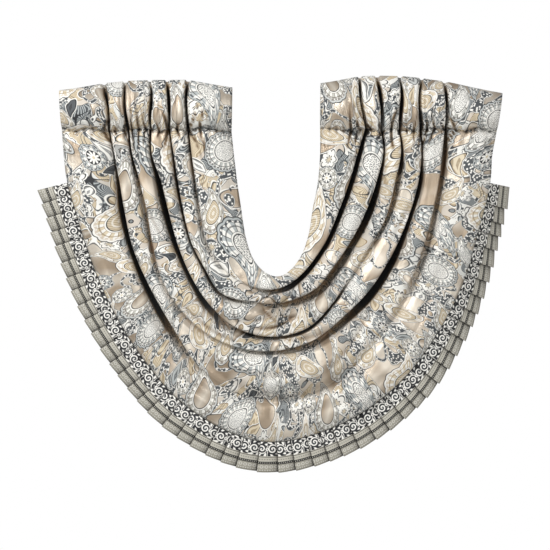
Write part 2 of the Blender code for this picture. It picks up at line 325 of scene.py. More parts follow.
# The print's repeat: each motif's middle, size and angle on the flat cloth, its shape (width for
# length, taper, curl), its petals, its middle's size and fill, and its tone from slate 0 to gold 1.
Motif = namedtuple("Motif", "u v size angle aspect taper curl petals core fill tone")
REPEAT = (
    Motif(86, 92, 92, 40, 0.50, 0.50, 0.75, 14, 0.50, Fill.HATCH, 1.0),
    Motif(300, 78, 56, 10, 0.98, 0.00, 0.00, 18, 0.50, Fill.STIPPLE, 0.1),
    Motif(205, 190, 76, 70, 0.60, 0.50, 0.62, 15, 0.54, Fill.SATIN, 0.3),
    Motif(350, 236, 94, -46, 0.46, 0.52, -0.75, 12, 0.46, Fill.STIPPLE, 0.0),
    Motif(52, 262, 34, 0, 1.00, 0.00, 0.00, 9, 0.52, Fill.DAISY, 0.0),
    Motif(140, 318, 66, -18, 0.42, 0.35, 0.20, 5, 0.62, Fill.HATCH, 1.0),
    Motif(268, 322, 58, 65, 0.50, 0.40, 0.60, 8, 0.55, Fill.HATCH, 0.4),
    Motif(196, 38, 42, -60, 0.56, 0.50, -0.45, 9, 0.56, Fill.SATIN, 0.5),
    Motif(404, 128, 64, 120, 0.42, 0.45, -0.70, 7, 0.58, Fill.STIPPLE, 0.2),
    Motif(404, 352, 60, 30, 0.44, 0.40, 0.65, 9, 0.58, Fill.HATCH, 0.8),
    Motif(60, 372, 54, 150, 0.40, 0.45, 0.70, 6, 0.58, Fill.HATCH, 0.6),
    Motif(130, 210, 30, 20, 1.00, 0.00, 0.00, 8, 0.45, Fill.DAISY, 0.3),
)
REPEAT_WIDTH = 430.0
REPEAT_HEIGHT = 400.0
LAYERS = ("upper", "lower")

# A place that no motif covers, how far past its outline a motif's faces reach, and the least width of
# a tapering motif's point, all in shares of a motif's size.
OFF_MOTIF = 9.0
MOTIF_MARGIN = 1.16
LEAST_TAPER = 0.12


@dataclass
class ClothMesh:
    """A grid of points on a cloth, which becomes one mesh with its print's coordinates."""

    name: str
    points: np.ndarray
    flat: np.ndarray
    # crease holds the painted shade at each point, from 0 to 1: in creases, gathers and under pleats.
    crease: np.ndarray
    thickness: float = 1.2

    def corners(self) -> np.ndarray:
        """The grid's faces.

        Returns:
            Four point numbers for each face, in the order that turns the first rows to the front.
        """
        rows, columns = self.points.shape[:2]
        number = np.arange(rows * columns).reshape(rows, columns)
        quads = [number[:-1, :-1], number[1:, :-1], number[1:, 1:], number[:-1, 1:]]
        down = self.points[1:6, :-1] - self.points[:5, :-1]
        across = self.points[:5, 1:] - self.points[:5, :-1]
        if np.cross(down, across)[..., 1].sum() > 0:
            quads.reverse()
        return np.stack(quads, axis=-1).reshape(-1, 4)

    def build(self) -> bpy.types.Object:
        """Makes the piece.

        Returns:
            The object, with its flat coordinates and its painted crease shade on it.
        """
        faces = self.corners()
        mesh = bpy.data.meshes.new(self.name)
        mesh.from_pydata((self.points.reshape(-1, 3) * MM).tolist(), [], faces.tolist())
        mesh.shade_smooth()
        uv = mesh.uv_layers.new(name="cloth")
        flat = self.flat.reshape(-1, 2)[faces.ravel()] * MM
        uv.data.foreach_set("uv", flat.ravel())
        # The painted shade, which the materials lay over the colour.
        crease = mesh.attributes.new("crease", "FLOAT", "POINT")
        crease.data.foreach_set("value", self.crease.ravel().astype(np.float32))
        piece = bpy.data.objects.new(self.name, mesh)
        bpy.context.scene.collection.objects.link(piece)
        return piece

    def print_motifs(self, mesh: bpy.types.Mesh) -> None:
        """Gives each face the motifs that lie over it, the upper and the lower one.

        Args:
            mesh: The mesh that build made.
        """
        faces = self.corners()
        flat = self.flat.reshape(-1, 2)
        middle = flat[faces].mean(axis=1)
        found = np.zeros(len(faces), int)
        local = {layer: np.full((len(faces) * 4, 2), OFF_MOTIF) for layer in LAYERS}
        shape = {layer: np.ones((len(faces), 3)) for layer in LAYERS}
        style = {layer: np.ones((len(faces), 4)) for layer in LAYERS}
        low = np.floor(middle.min(axis=0) / (REPEAT_WIDTH, REPEAT_HEIGHT)).astype(int) - 1
        high = np.ceil(middle.max(axis=0) / (REPEAT_WIDTH, REPEAT_HEIGHT)).astype(int) + 1
        for motif in REPEAT:
            for i in range(low[0], high[0] + 1):
                for j in range(low[1], high[1] + 1):
                    centre = (
                        motif.u + i * REPEAT_WIDTH,
                        motif.v + j * REPEAT_HEIGHT + (i % 2) * REPEAT_HEIGHT / 2,
                    )
                    over = self.reach(motif, middle - centre) < MOTIF_MARGIN
                    for k, layer in enumerate(LAYERS):
                        chosen = np.flatnonzero(over & (found == k))
                        corner = (chosen[:, None] * 4 + np.arange(4)).ravel()
                        turned = self.turn(motif, flat[faces[chosen]].reshape(-1, 2) - centre)
                        local[layer][corner] = turned
                        shape[layer][chosen] = (motif.aspect, motif.taper, motif.curl)
                        looks = (motif.petals, motif.core, motif.fill.value, motif.tone)
                        style[layer][chosen] = looks
                        over[chosen] = False
                        found[chosen] += 1
        for layer in LAYERS:
            uv = mesh.uv_layers.new(name=f"motif_{layer}")
            uv.data.foreach_set("uv", local[layer].ravel())
            form = mesh.attributes.new(f"shape_{layer}", "FLOAT_VECTOR", "FACE")
            form.data.foreach_set("vector", shape[layer].ravel().astype(np.float32))
            tone = mesh.attributes.new(f"style_{layer}", "FLOAT_COLOR", "FACE")
            tone.data.foreach_set("color", style[layer].ravel().astype(np.float32))

    @staticmethod
    def turn(motif: Motif, away: np.ndarray) -> np.ndarray:
        """Places in a motif's own directions and size.

        Args:
            motif: The motif.
            away: The places, from its middle, in millimetres.

        Returns:
            The same places, where 1 is its size.
        """
        angle = math.radians(motif.angle)
        x = away[..., 0] * math.cos(angle) + away[..., 1] * math.sin(angle)
        y = away[..., 1] * math.cos(angle) - away[..., 0] * math.sin(angle)
        return np.stack([x, y], axis=-1) / motif.size

    @classmethod
    def reach(cls, motif: Motif, away: np.ndarray) -> np.ndarray:
        """How far places are from a motif's middle.

        Args:
            motif: The motif.
            away: The places, from its middle, in millimetres.

        Returns:
            The distances, where 1 is its outline.
        """
        x, y = cls.turn(motif, away).T
        side = (y - motif.curl * np.maximum(x, 0) ** 2) / motif.aspect
        side /= np.maximum(1 - motif.taper * x, LEAST_TAPER)
        return np.hypot(x, side)

    def give_thickness(self, piece: bpy.types.Object) -> None:
        """Makes the sheet solid behind its face, with the second material on its reverse.

        Args:
            piece: The object that build made.
        """
        wall = piece.modifiers.new("cloth", "SOLIDIFY")
        wall.thickness = self.thickness * MM
        wall.offset = -1.0
        wall.use_rim = True
        wall.use_even_offset = False
        if len(piece.data.materials) > 1:
            wall.material_offset = 1
            wall.material_offset_rim = 0


# Small creases, listed one by one: the place round the swag and across it as shares, the length and
# width in millimetres, the depth, the angle from the folds' own direction, and how dark they are.
# The gloom column is the painted shade laid along each pucker.
Pucker = namedtuple("Pucker", "round across length width depth angle gloom")
PUCKERS = (
    Pucker(0.49, 0.79, 120, 42, 5, 0, 0.26),
    Pucker(0.44, 0.70, 70, 9, 9, 25, 0.3),
    Pucker(0.47, 0.76, 60, 8, 10, -20, 0.5),
    Pucker(0.50, 0.70, 80, 7, 10, 12, 0.55),
    Pucker(0.41, 0.62, 60, 8, 7, -25, 0.3),
    Pucker(0.54, 0.86, 50, 7, 7, 15, 0.3),
    Pucker(0.49, 0.84, 46, 6, 9, -26, 0.6),
    Pucker(0.46, 0.88, 40, 5, 7, 30, 0.5),
    Pucker(0.52, 0.75, 50, 5, 8, -16, 0.5),
    Pucker(0.36, 0.47, 90, 10, 8, 14, 0.3),
    Pucker(0.57, 0.57, 90, 10, 8, -12, 0.3),
    Pucker(0.63, 0.40, 110, 12, 9, 16, 0.2),
    Pucker(0.48, 0.40, 120, 14, 8, 8, 0.2),
    Pucker(0.43, 0.30, 130, 18, 9, -7, 0.15),
    Pucker(0.52, 0.26, 150, 20, 10, 6, 0.15),
    Pucker(0.60, 0.22, 120, 18, 9, -9, 0.15),
    Pucker(0.55, 0.14, 110, 16, 8, -10, 0.1),
    Pucker(0.40, 0.15, 100, 15, 8, 12, 0.1),
    Pucker(0.33, 0.20, 110, 14, 8, -10, 0.15),
    Pucker(0.20, 0.12, 90, 14, 7, 10, 0.1),
    Pucker(0.16, 0.45, 60, 9, 6, 18, 0.2),
    Pucker(0.84, 0.46, 60, 9, 6, -16, 0.2),
    Pucker(0.80, 0.12, 90, 15, 7, -8, 0.1),
    Pucker(0.70, 0.14, 110, 16, 8, 8, 0.15),
    Pucker(0.72, 0.70, 60, 9, 6, 14, 0.2),
)


@dataclass
class SwagPanel:
    """The draped print, from the seam under one heading round to the seam under the other."""

    rows: int = 250
    fold_columns: int = 15
    edge_columns: int = 19
    crinkle: float = 3.4
    crinkle_fade: float = 34.0
    crinkle_pitch: float = 19.0
    pinch_depth: float = 5.0
    pinch_reach: float = 14.0
    wave: float = 3.4
    wave_pitch: tuple[float, float] = (105.0, 31.0)
    fine_wave: float = 1.02
    fine_pitch: tuple[float, float] = (30.0, 15.0)
    hem_width: float = 11.0
    hem_step: float = 0.8
    hem_slope: float = 1.5
    gather_pitch: float = 21.0
    gather_reach: float = 34.0
    gather_width: float = 2.2
    gather_depth: float = 7.0
    gather_fan: float = 0.45
    seam_reach: float = 30.0
    # mark_breadth: how narrow a pucker's painted shade is for its width.
    mark_breadth: float = 0.55
    smooth_depth: float = 20.0
    smooth_share: float = 0.7

    def spots(self, cut: Cut) -> np.ndarray:
        """Where the columns lie across a section.

        Args:
            cut: The section.

        Returns:
            Their places, closest together on the creases' walls.
        """
        wall = np.array([0.4, 0.62, 0.76, 0.86, 0.94, 1.02, 1.12, FORM.lip])
        steps = np.concatenate([-wall[::-1], [0.0], wall])
        found = []
        last = 0.0
        for k, width in enumerate(cut.widths):
            low = cut.places[k + 1] - FORM.lip * width
            count = self.edge_columns if k == 0 else self.fold_columns
            found.append(np.linspace(last, low, count, endpoint=False)[0 if k == 0 else 1 :])
            found.append(cut.places[k + 1] + steps * width)
            last = cut.places[k + 1] + FORM.lip * width
        found.append(np.linspace(last, cut.length, self.edge_columns + 1)[1:])
        return np.concatenate(found)

    def gathers(self, spots: np.ndarray, away: float) -> np.ndarray:
        """How deep the short gathers are that fan out from a heading's seam, and how dark their painted
        shade is.

        Args:
            spots: The places across the swag.
            away: How far they lie from the seam, in millimetres.

        Returns:
            Their depth share and painted shade, from 0 to 1.
        """
        fan = spots + away * self.gather_fan * np.sin(spots / 29.0) + 9 * np.sin(spots / 33.0)
        narrow = np.abs(np.sin(fan * math.pi / self.gather_pitch)) * self.gather_pitch / math.pi
        reach = self.gather_reach * (1 + 0.8 * np.sin(spots / 13.0))
        share = spots / spots[-1]
        most = np.clip((share - 0.12) / 0.16, 0.15, 1) * np.clip((0.95 - share) / 0.12, 0.25, 1)
        return most * np.exp(-((narrow / self.gather_width) ** 2) - (away / reach) ** 2)

    @staticmethod
    def pressed(
        pucker: Pucker, distance: float, spots: np.ndarray, cut: Cut, breadth: float
    ) -> np.ndarray:
        """How much of a pucker's depth each spot has.

        Args:
            pucker: The pucker.
            distance: How far round the spots lie.
            spots: The places across the swag.
            cut: The section there.
            breadth: How broad it is for its width.

        Returns:
            Its share there, from 0 to 1.
        """
        along = distance - pucker.round * FORM.end
        aside = spots - pucker.across * cut.length
        turned = math.radians(pucker.angle)
        run = along * math.cos(turned) + aside * math.sin(turned)
        off = aside * math.cos(turned) - along * math.sin(turned)
        return np.exp(-((run / pucker.length) ** 2) - (off / pucker.width / breadth) ** 2)

    def relief(self, distance: float, spots: np.ndarray, cut: Cut) -> np.ndarray:
        """How far small wrinkles move the cloth back.

        Args:
            distance: How far round the spots lie.
            spots: The places across the swag.
            cut: The section there.

        Returns:
            The way back at each spot, in millimetres.
        """
        seam = min(distance, FORM.end - distance)
        gather = math.exp(-seam / self.crinkle_fade)
        phase = spots / self.crinkle_pitch * 2 * math.pi
        pinch = np.sin(phase + 1.3 * np.sin(spots / 31.0)) * self.crinkle * gather
        back = pinch + self.pinch_depth * math.exp(-((seam / self.pinch_reach) ** 2))
        waves = ((self.wave, self.wave_pitch, 3), (self.fine_wave, self.fine_pitch, 8))
        for height, (along, across), seed in waves:
            back += height * rumple(np.full_like(spots, distance / along), spots / across, seed)
        back += self.gathers(spots, seam) * self.gather_depth
        for pucker in PUCKERS:
            back += pucker.depth * self.pressed(pucker, distance, spots, cut, 1.0)
        hem = np.clip((spots - (cut.length - self.hem_width)) / self.hem_slope, 0, 1)
        return back - self.hem_step * hem

    def grid(self) -> ClothMesh:
        """The panel's points, flat coordinates and painted crease shade.

        Returns:
            The cloth mesh.
        """
        points, flat, crease = [], [], []
        for distance in FORM.even_distances(self.rows):
            cut = FORM.cut(distance)
            spots = self.spots(cut)
            row, sunk, gloom = FORM.row(distance, spots, cut)
            seam = min(distance, FORM.end - distance)
            row[:, 2] += FORM.seam_wander(row[:, 0]) * math.exp(-seam / self.seam_reach)
            smoothed = self.smooth_share * np.clip(sunk / self.smooth_depth, 0, 1)
            row[:, 1] += self.relief(distance, spots, cut) * (1 - smoothed)
            run = running_length(row)
            points.append(row)
            flat.append(cut.inner[None, :] - cut.along[None, :] * (run[-1] - run)[:, None])
            # Painted shade of the puckers, joined to the creases' and the gathers' painted shade.
            marks = [
                pucker.gloom * self.pressed(pucker, distance, spots, cut, self.mark_breadth)
                for pucker in PUCKERS
            ]
            crease.append(np.maximum.reduce([gloom, self.gathers(spots, seam), *marks]))
        return ClothMesh("swag_cloth", np.array(points), np.array(flat), np.array(crease))


class Side(Enum):
    """Which shoulder a heading gathers."""

    LEFT = "left"
    RIGHT = "right"


# Where each heading's cloth lies in the print's repeat.
PRINT_PLACES = {Side.LEFT: (60.0, 330.0), Side.RIGHT: (290.0, 40.0)}


@dataclass
class Heading:
    """A gathered band folded over the rod and sewn, both edges together, to the top of the swag."""

    side: Side
    outer_x: float
    inner_x: float
    shares: tuple[float, ...]
    heights: tuple[float, ...]
    crease_dip: float = 4.5
    soft_top: float = 1.2
    pocket_half: float = 18.0
    front_crown: float = 18.0
    back_crown: float = 12.0
    trough: float = 4.4
    sway: float = 3.4
    sway_reach: float = 17.0
    roundness: float = 0.6
    crown: float = 0.4
    layers_apart: float = 3.0
    wave: float = 2.2
    pinch: float = 2.4
    pinch_reach: float = 26.0
    front_rows: int = 30
    back_rows: int = 20

    def bend(self, spots: np.ndarray, cut: Cut, rise: float) -> np.ndarray:
        """How far each crease strays sideways on its way up the heading.

        Args:
            spots: The places across the heading.
            cut: The section at its seam.
            rise: The share of the way up.

        Returns:
            How far each spot moves, in millimetres.
        """
        stray = np.zeros_like(spots)
        for k, place in enumerate(cut.places[1:-1]):
            wave = math.sin((3.4 + k % 3) * rise + 2.1 * k) - math.sin(2.1 * k) * (1 - rise)
            near = np.exp(-(((spots - place) / self.sway_reach) ** 2))
            stray += self.sway * wave * near * min(1.0, 5 * rise)
        return stray

    def rises(self) -> list[tuple[float, bool]]:
        """The heading's rows, closest together over the rod.

        Returns:
            Each row's share of the way up from the seam, and whether it lies behind the rod.
        """
        front = 1 - (1 - np.linspace(0, 1, self.front_rows)) ** 1.5
        back = 1 - np.linspace(0, 1, self.back_rows + 1)[1:] ** 1.5
        return [(rise, False) for rise in front] + [(max(rise, 0.02), True) for rise in back]

    def grid(self, panel: SwagPanel) -> ClothMesh:
        """The heading's points, flat coordinates and painted crease shade.

        Args:
            panel: The panel that it is sewn to.

        Returns:
            The cloth mesh.
        """
        distance = 0.0 if self.side is Side.LEFT else FORM.end
        cut = FORM.cut(distance)
        spots = panel.spots(cut)
        seam, _, _ = FORM.row(distance, spots, cut)
        wander = FORM.seam_wander(seam[:, 0])
        seam[:, 1] += panel.relief(distance, spots, cut)
        away = np.abs((spots[:, None] - cut.places[None, 1:-1]) / self.trough)
        trough = np.exp(-(away**FORM.steepness)).max(axis=1)
        crown = self.crown * FORM.crown(spots, cut, distance)
        share = np.interp(spots, cut.places, self.shares)
        top_x = self.outer_x + (self.inner_x - self.outer_x) * share
        soft_top = rumple(spots / 37.0, np.full_like(spots, 2.5), 5) * self.soft_top
        top_z = np.interp(share, self.shares, self.heights) - self.crease_dip * trough + soft_top
        points, crease = [], []
        for rise, behind in self.rises():
            puff = max(math.sin(math.pi * rise), 0.0) ** self.roundness
            height = (top_z - FORM.seam_z) * rise
            level = seam[:, 1] * (1 - rise)
            if behind:
                level = seam[:, 1] * (1 - rise) ** 2 + self.layers_apart * (1 - rise)
                level = level + puff * (self.pocket_half + self.back_crown * (1 - trough))
            else:
                level = level - puff * (self.pocket_half + self.front_crown * (1 - trough) + crown)
                waves = rumple(height / 30.0, spots / 19.0, 11) * self.wave * puff
                pinch = np.sin(spots / 8.2 + 2 * np.sin(spots / 23.0)) * self.pinch * puff
                level = level + waves + pinch * np.exp(-height / self.pinch_reach)
            x = seam[:, 0] + (top_x - seam[:, 0]) * rise + self.bend(spots, cut, rise)
            z = FORM.seam_z + height + wander * (1 - rise) ** 3
            points.append(np.column_stack([x, level, z]))
            # Painted shade in the heading's creases and gathers, on its front only, fading out towards
            # the top.
            thick = 0.42 + 0.5 * np.sin(2.6 * rise + 2.3 * np.arange(1, 6)) ** 2
            dark = np.exp(-((away / thick) ** 6)).max(axis=1)
            dark = np.maximum(dark, panel.gathers(spots, abs(height).mean()))
            crease.append(dark * (0.0 if behind else min(1.0, 4 * (1.02 - rise))))
        points = np.array(points)
        run = running_length(points)
        across = running_length(seam)
        flat = np.stack([np.broadcast_to(across, run.shape), run], axis=-1)
        flat = flat + PRINT_PLACES[self.side]
        return ClothMesh(f"heading_cloth_{self.side.value}", points, flat, np.array(crease))


HEADINGS = (
    Heading(
        Side.LEFT, -542, -109, (0, 0.263, 0.380, 0.525, 0.625, 0.742, 1), (30, 48, 54, 56, 56, 57, 38)
    ),
    Heading(
        Side.RIGHT, 566, 111, (0, 0.318, 0.446, 0.561, 0.688, 0.786, 1), (23, 53, 61, 66, 67, 66, 48)
    ),
)


@dataclass
class PleatedTrim:
    """The knife-pleated border, each pleat lying over the next one down the right side."""

    pleats: int = 48
    width: float = 76.0
    uneven: float = 0.1
    underlap: float = 14.0
    lift: float = 6.4
    opening: float = 1.7
    layer_pitch: float = 2.2
    tooth: float = 4.0
    tuck: float = 2.6
    tuck_depth: float = 2.6
    tuck_reach: float = 0.2
    start_row: float = 2.12
    end_row: float = 13.95
    # How far the painted shade reaches past a fold, in millimetres, and how dark it is at most.
    fold_shade: float = 3.4
    darkest: float = 0.95
    bow: float = 1.1
    sway: float = 1.4
    thickness: float = 0.9
    reach_rows: int = 12
    jags: tuple = ((0.0, 0.3, 0.5, 0.62, 0.85, 1.0), (0.8, 0.5, 0.4, 0.4, 0.45, 0.7))

    def seam(self, edge: np.ndarray, distances: np.ndarray) -> tuple[np.ndarray, np.ndarray]:
        """The swag's outer edge from the right shoulder round to the left.

        Args:
            edge: The edge's points.
            distances: How far round each of them lies.

        Returns:
            The running length, and a row for each place: its point, and the border's directions.
        """
        rows = range(len(FORM.knots))
        low, high = np.interp((self.start_row, self.end_row), rows, FORM.knots)
        places = np.linspace(high, low, FINE_STEPS)
        back = edge + np.array([0.0, FORM.fabric / 2, 0.0])
        points = np.stack([np.interp(places, distances, back[:, axis]) for axis in range(3)], axis=1)
        lines = smooth(FORM.knots, FORM.lines, places)
        ahead = unit(np.gradient(lines[:, 0:2], axis=0))
        outward = np.stack([-ahead[:, 1], ahead[:, 0]], axis=1)
        table = np.column_stack([points, ahead, outward, np.radians(lines[:, 5])])
        return running_length(points), table

    def path(self, length: float) -> np.ndarray:
        """The band seen end on.

        Args:
            length: The seam's length.

        Returns:
            A row for each point: its place, how much of the lift it has, its level behind that, its
            reach past the hem and its painted shade.
        """
        number = np.arange(self.pleats)
        weights = 1 + self.uneven * (np.sin(2.1 * number) + 0.6 * np.sin(5.3 * number))
        starts = np.concatenate([[0.0], np.cumsum(weights)]) * (length - self.underlap) / weights.sum()
        path = []
        for start, end in zip(starts[:-1], starts[1:]):
            fold = end + self.underlap
            width = fold - start
            seen = self.underlap / width
            by_fold = [seen + step for step in (-0.03, 0.0, 0.025, 0.06, 0.12)]
            for s in (0.0, 0.15, *by_fold, 0.6, 0.76, 0.9, 1.0):
                # Painted shadow of the pleat that lies over this one, fading away from its fold.
                shade = min(math.exp((seen + 0.01 - s) * width / self.fold_shade), 1.0)
                shade *= self.darkest if start > 0 else 0.0
                bow = -self.bow * math.sin(math.pi * s)
                path.append((start + width * s, 1 - s, bow, self.tooth * (2 * s - 1), shade))
            path.append((fold + 0.5, 0.0, self.layer_pitch / 2, self.tooth, 0.35))
            path.append((fold, 0.0, self.layer_pitch, self.tooth, 0.9))
            path.append(((fold + end) / 2, 0.5, self.layer_pitch / 2, 0.0, 1.0))
            path.append((end, 1.0, -self.layer_pitch, -self.tooth, 1.0))
        return np.array(path[:-2])

    def grid(self, edge: np.ndarray, distances: np.ndarray) -> ClothMesh:
        """Lays the pleats along the swag's edge.

        Args:
            edge: The edge's points.
            distances: How far round each of them lies.

        Returns:
            The cloth mesh, with flat coordinates along and across the strip.
        """
        run, table = self.seam(edge, distances)
        path = self.path(run[-1])
        here = np.clip(path[:, 0], 0.0, run[-1])
        x, y, z, ahead_x, ahead_z, out_x, out_z, turn = (
            np.interp(here, run, column) for column in table.T
        )
        scale = np.hypot(out_x, out_z)
        out_x, out_z = out_x / scale, out_z / scale
        past = path[:, 0] - here
        strip = running_length(np.column_stack([path[:, 0], self.lift * path[:, 1] + path[:, 2]]))
        jag = np.interp(here / run[-1], *self.jags)
        points, flat = [], []
        for t in np.linspace(0, 1, self.reach_rows):
            opening = 1 + (self.opening - 1) * t**1.6
            reach = (self.width + self.tuck) * t - self.tuck + path[:, 3] * t * jag
            sway = rumple(path[:, 0] / 60.0, np.full(len(path), t * 1.5), 21) * self.sway * t
            behind = self.lift * opening * path[:, 1] + path[:, 2] - self.lift / 2 + sway
            behind = behind + self.tuck_depth * max(1 - t / self.tuck_reach, 0.0)
            outward = reach * np.cos(turn) - behind * np.sin(turn)
            deep = reach * np.sin(turn) + behind * np.cos(turn)
            across_x = x + ahead_x * past + out_x * outward
            across_z = z + ahead_z * past + out_z * outward
            points.append(np.column_stack([across_x, y + deep, across_z]))
            flat.append(np.column_stack([strip, np.full(len(path), self.width * t)]))
        across = np.linspace(0, 1, self.reach_rows)[:, None]
        # Painted shade under the pleats: narrow by the seam and broader towards the hem.
        crease = path[:, 4] ** (1.4 - 0.9 * across)
        return ClothMesh("border_cloth", np.array(points), np.array(flat), crease, self.thickness)


@dataclass
class StitchLine:
    """A row of stitches along a seam, laid by Geometry Nodes.

    The thread is half its width, and the wander is how much shorter the smallest stitch is, as a share.
    """

    name: str
    points: np.ndarray
    pitch: float = 5.0
    length: float = 3.4
    thread: float = 0.45
    wander: float = 0.12
    seed: int = 4

    INPUTS: ClassVar = (
        ("Geometry", "Geometry"),
        ("Pitch", "Float"),
        ("Length", "Float"),
        ("Thread", "Float"),
        ("Wander", "Float"),
        ("Seed", "Int"),
    )
    NODES: ClassVar = (
        "NodeGroupInput",
        "NodeGroupOutput",
        "GeometryNodeCurveToPoints",
        "GeometryNodeMeshUVSphere",
        "ShaderNodeCombineXYZ",
        "ShaderNodeVectorMath",
        "GeometryNodeInstanceOnPoints",
        "FunctionNodeRandomValue",
        "ShaderNodeMath",
        "GeometryNodeRealizeInstances",
        "GeometryNodeSetMaterial",
    )

    def tree(self, thread_finish: bpy.types.Material) -> bpy.types.NodeTree:
        """The node tree that lays one stitch at each step along a curve.

        Args:
            thread_finish: The thread's material.

        Returns:
            The tree, with named inputs for its sizes.
        """
        tree = bpy.data.node_groups.new(f"{self.name}_tree", "GeometryNodeTree")
        for name, kind in self.INPUTS:
            tree.interface.new_socket(name, in_out="INPUT", socket_type=f"NodeSocket{kind}")
        tree.interface.new_socket("Geometry", in_out="OUTPUT", socket_type="NodeSocketGeometry")
        given, result, steps, stitch, size, turn, lay, jitter, low, real, paint = (
            tree.nodes.new(kind) for kind in self.NODES
        )
        steps.mode = "LENGTH"
        turn.operation = "SCALE"
        low.operation = "SUBTRACT"
        low.inputs[0].default_value = 1.0
        jitter.inputs[3].default_value = 1.0
        for name, value in (("Segments", 6), ("Rings", 4), ("Radius", 0.5)):
            stitch.inputs[name].default_value = value
        paint.inputs["Material"].default_value = thread_finish
        for output, socket in (
            (given.outputs["Geometry"], steps.inputs[0]),
            (given.outputs["Pitch"], steps.inputs["Length"]),
            (given.outputs["Wander"], low.inputs[1]),
            (low.outputs[0], jitter.inputs[2]),
            (given.outputs["Seed"], jitter.inputs["Seed"]),
            (given.outputs["Thread"], size.inputs[0]),
            (given.outputs["Thread"], size.inputs[1]),
            (given.outputs["Length"], size.inputs[2]),
            (size.outputs[0], turn.inputs[0]),
            (jitter.outputs[1], turn.inputs[3]),
            (steps.outputs["Points"], lay.inputs["Points"]),
            (stitch.outputs["Mesh"], lay.inputs["Instance"]),
            (steps.outputs["Rotation"], lay.inputs["Rotation"]),
            (turn.outputs[0], lay.inputs["Scale"]),
            (lay.outputs[0], real.inputs[0]),
            (real.outputs[0], paint.inputs["Geometry"]),
            (paint.outputs[0], result.inputs[0]),
        ):
            tree.links.new(output, socket)
        return tree

    def build(self, thread_finish: bpy.types.Material) -> bpy.types.Object:
        """Lays the stitches and keeps them as a plain mesh.

        Args:
            thread_finish: The thread's material.

        Returns:
            The piece.
        """
        curve = bpy.data.curves.new(f"{self.name}_path", "CURVE")
        curve.dimensions = "3D"
        spline = curve.splines.new("POLY")
        spline.points.add(len(self.points) - 1)
        weighted = np.column_stack([self.points * MM, np.ones(len(self.points))])
        spline.points.foreach_set("co", weighted.ravel())
        guide = bpy.data.objects.new(f"{self.name}_path", curve)
        bpy.context.scene.collection.objects.link(guide)
        rule = guide.modifiers.new("stitches", "NODES")
        rule.node_group = self.tree(thread_finish)
        sizes = {"Pitch": self.pitch, "Length": self.length, "Thread": self.thread * 2}
        values = {name: size * MM for name, size in sizes.items()}
        values.update({"Wander": self.wander, "Seed": self.seed})
        for item in rule.node_group.interface.items_tree:
            if item.in_out == "INPUT" and item.name in values:
                rule[item.identifier] = values[item.name]
        bpy.context.view_layer.update()
        laid = guide.evaluated_get(bpy.context.evaluated_depsgraph_get())
        shape = bpy.data.meshes.new_from_object(laid)
        bpy.data.objects.remove(guide, do_unlink=True)
        piece = bpy.data.objects.new(self.name, shape)
        bpy.context.scene.collection.objects.link(piece)
        shape.shade_smooth()
        return piece


class Signal:
    """A number or vector on its way through a material's nodes."""

    def __init__(self, tree: bpy.types.NodeTree, socket: bpy.types.NodeSocket) -> None:
        """Keeps the node's output."""
        self.tree = tree
        self.socket = socket

    def do(self, operation: str, *others: "Signal | float", clamp: bool = False) -> "Signal":
        """One Math node on this number.

        Args:
            operation: The node's operation.
            others: Its other inputs.
            clamp: Whether the result is held between 0 and 1.

        Returns:
            The node's result.
        """
        node = self.tree.nodes.new("ShaderNodeMath")
        node.operation = operation
        node.use_clamp = clamp
        for slot, value in zip(node.inputs, (self, *others)):
            if isinstance(value, Signal):
                self.tree.links.new(value.socket, slot)
            else:
                slot.default_value = value
        return Signal(self.tree, node.outputs[0])

    def __add__(self, other: "Signal | float") -> "Signal":
        """The sum."""
        return self.do("ADD", other)

    def __sub__(self, other: "Signal | float") -> "Signal":
        """The difference."""
        return self.do("SUBTRACT", other)

    def __mul__(self, other: "Signal | float") -> "Signal":
        """The product."""
        return self.do("MULTIPLY", other)

    def __truediv__(self, other: "Signal | float") -> "Signal":
        """The quotient."""
        return self.do("DIVIDE", other)

    def past(self, edge: "Signal | float", soft: float) -> "Signal":
        """Whether the number is past an edge.

        Args:
            edge: The edge.
            soft: The width over which it turns.

        Returns:
            0 below the edge and 1 above it.
        """
        if isinstance(edge, Signal):
            return (self - edge).do("MULTIPLY_ADD", 1 / soft, 0.5, clamp=True)
        return self.do("MULTIPLY_ADD", 1 / soft, 0.5 - edge / soft, clamp=True)

    def band(self, low: "Signal | float", high: "Signal | float", soft: float) -> "Signal":
        """1 between low and high, and 0 outside them."""
        return self.past(low, soft) * self.past(high, soft).flip()

    def flip(self) -> "Signal":
        """One minus this number."""
        return self.do("MULTIPLY_ADD", -1.0, 1.0)

    def wave(self) -> "Signal":
        """Its sine."""
        return self.do("SINE")

    def size(self) -> "Signal":
        """Its size without its sign."""
        return self.do("ABSOLUTE")

    def repeat(self, pitch: float) -> "Signal":
        """The place within one repeat of a pattern, from the repeat's middle."""
        return ((self / pitch).do("FRACT") - 0.5) * pitch


def ink(red: float, green: float, blue: float) -> tuple[float, float, float, float]:
    """A colour as the eye sees it, from 0 to 255, as the light that it reflects."""
    channels = [value / 255 for value in (red, green, blue)]
    return (*(c / 12.92 if c < 0.04045 else ((c + 0.055) / 1.055) ** 2.4 for c in channels), 1.0)


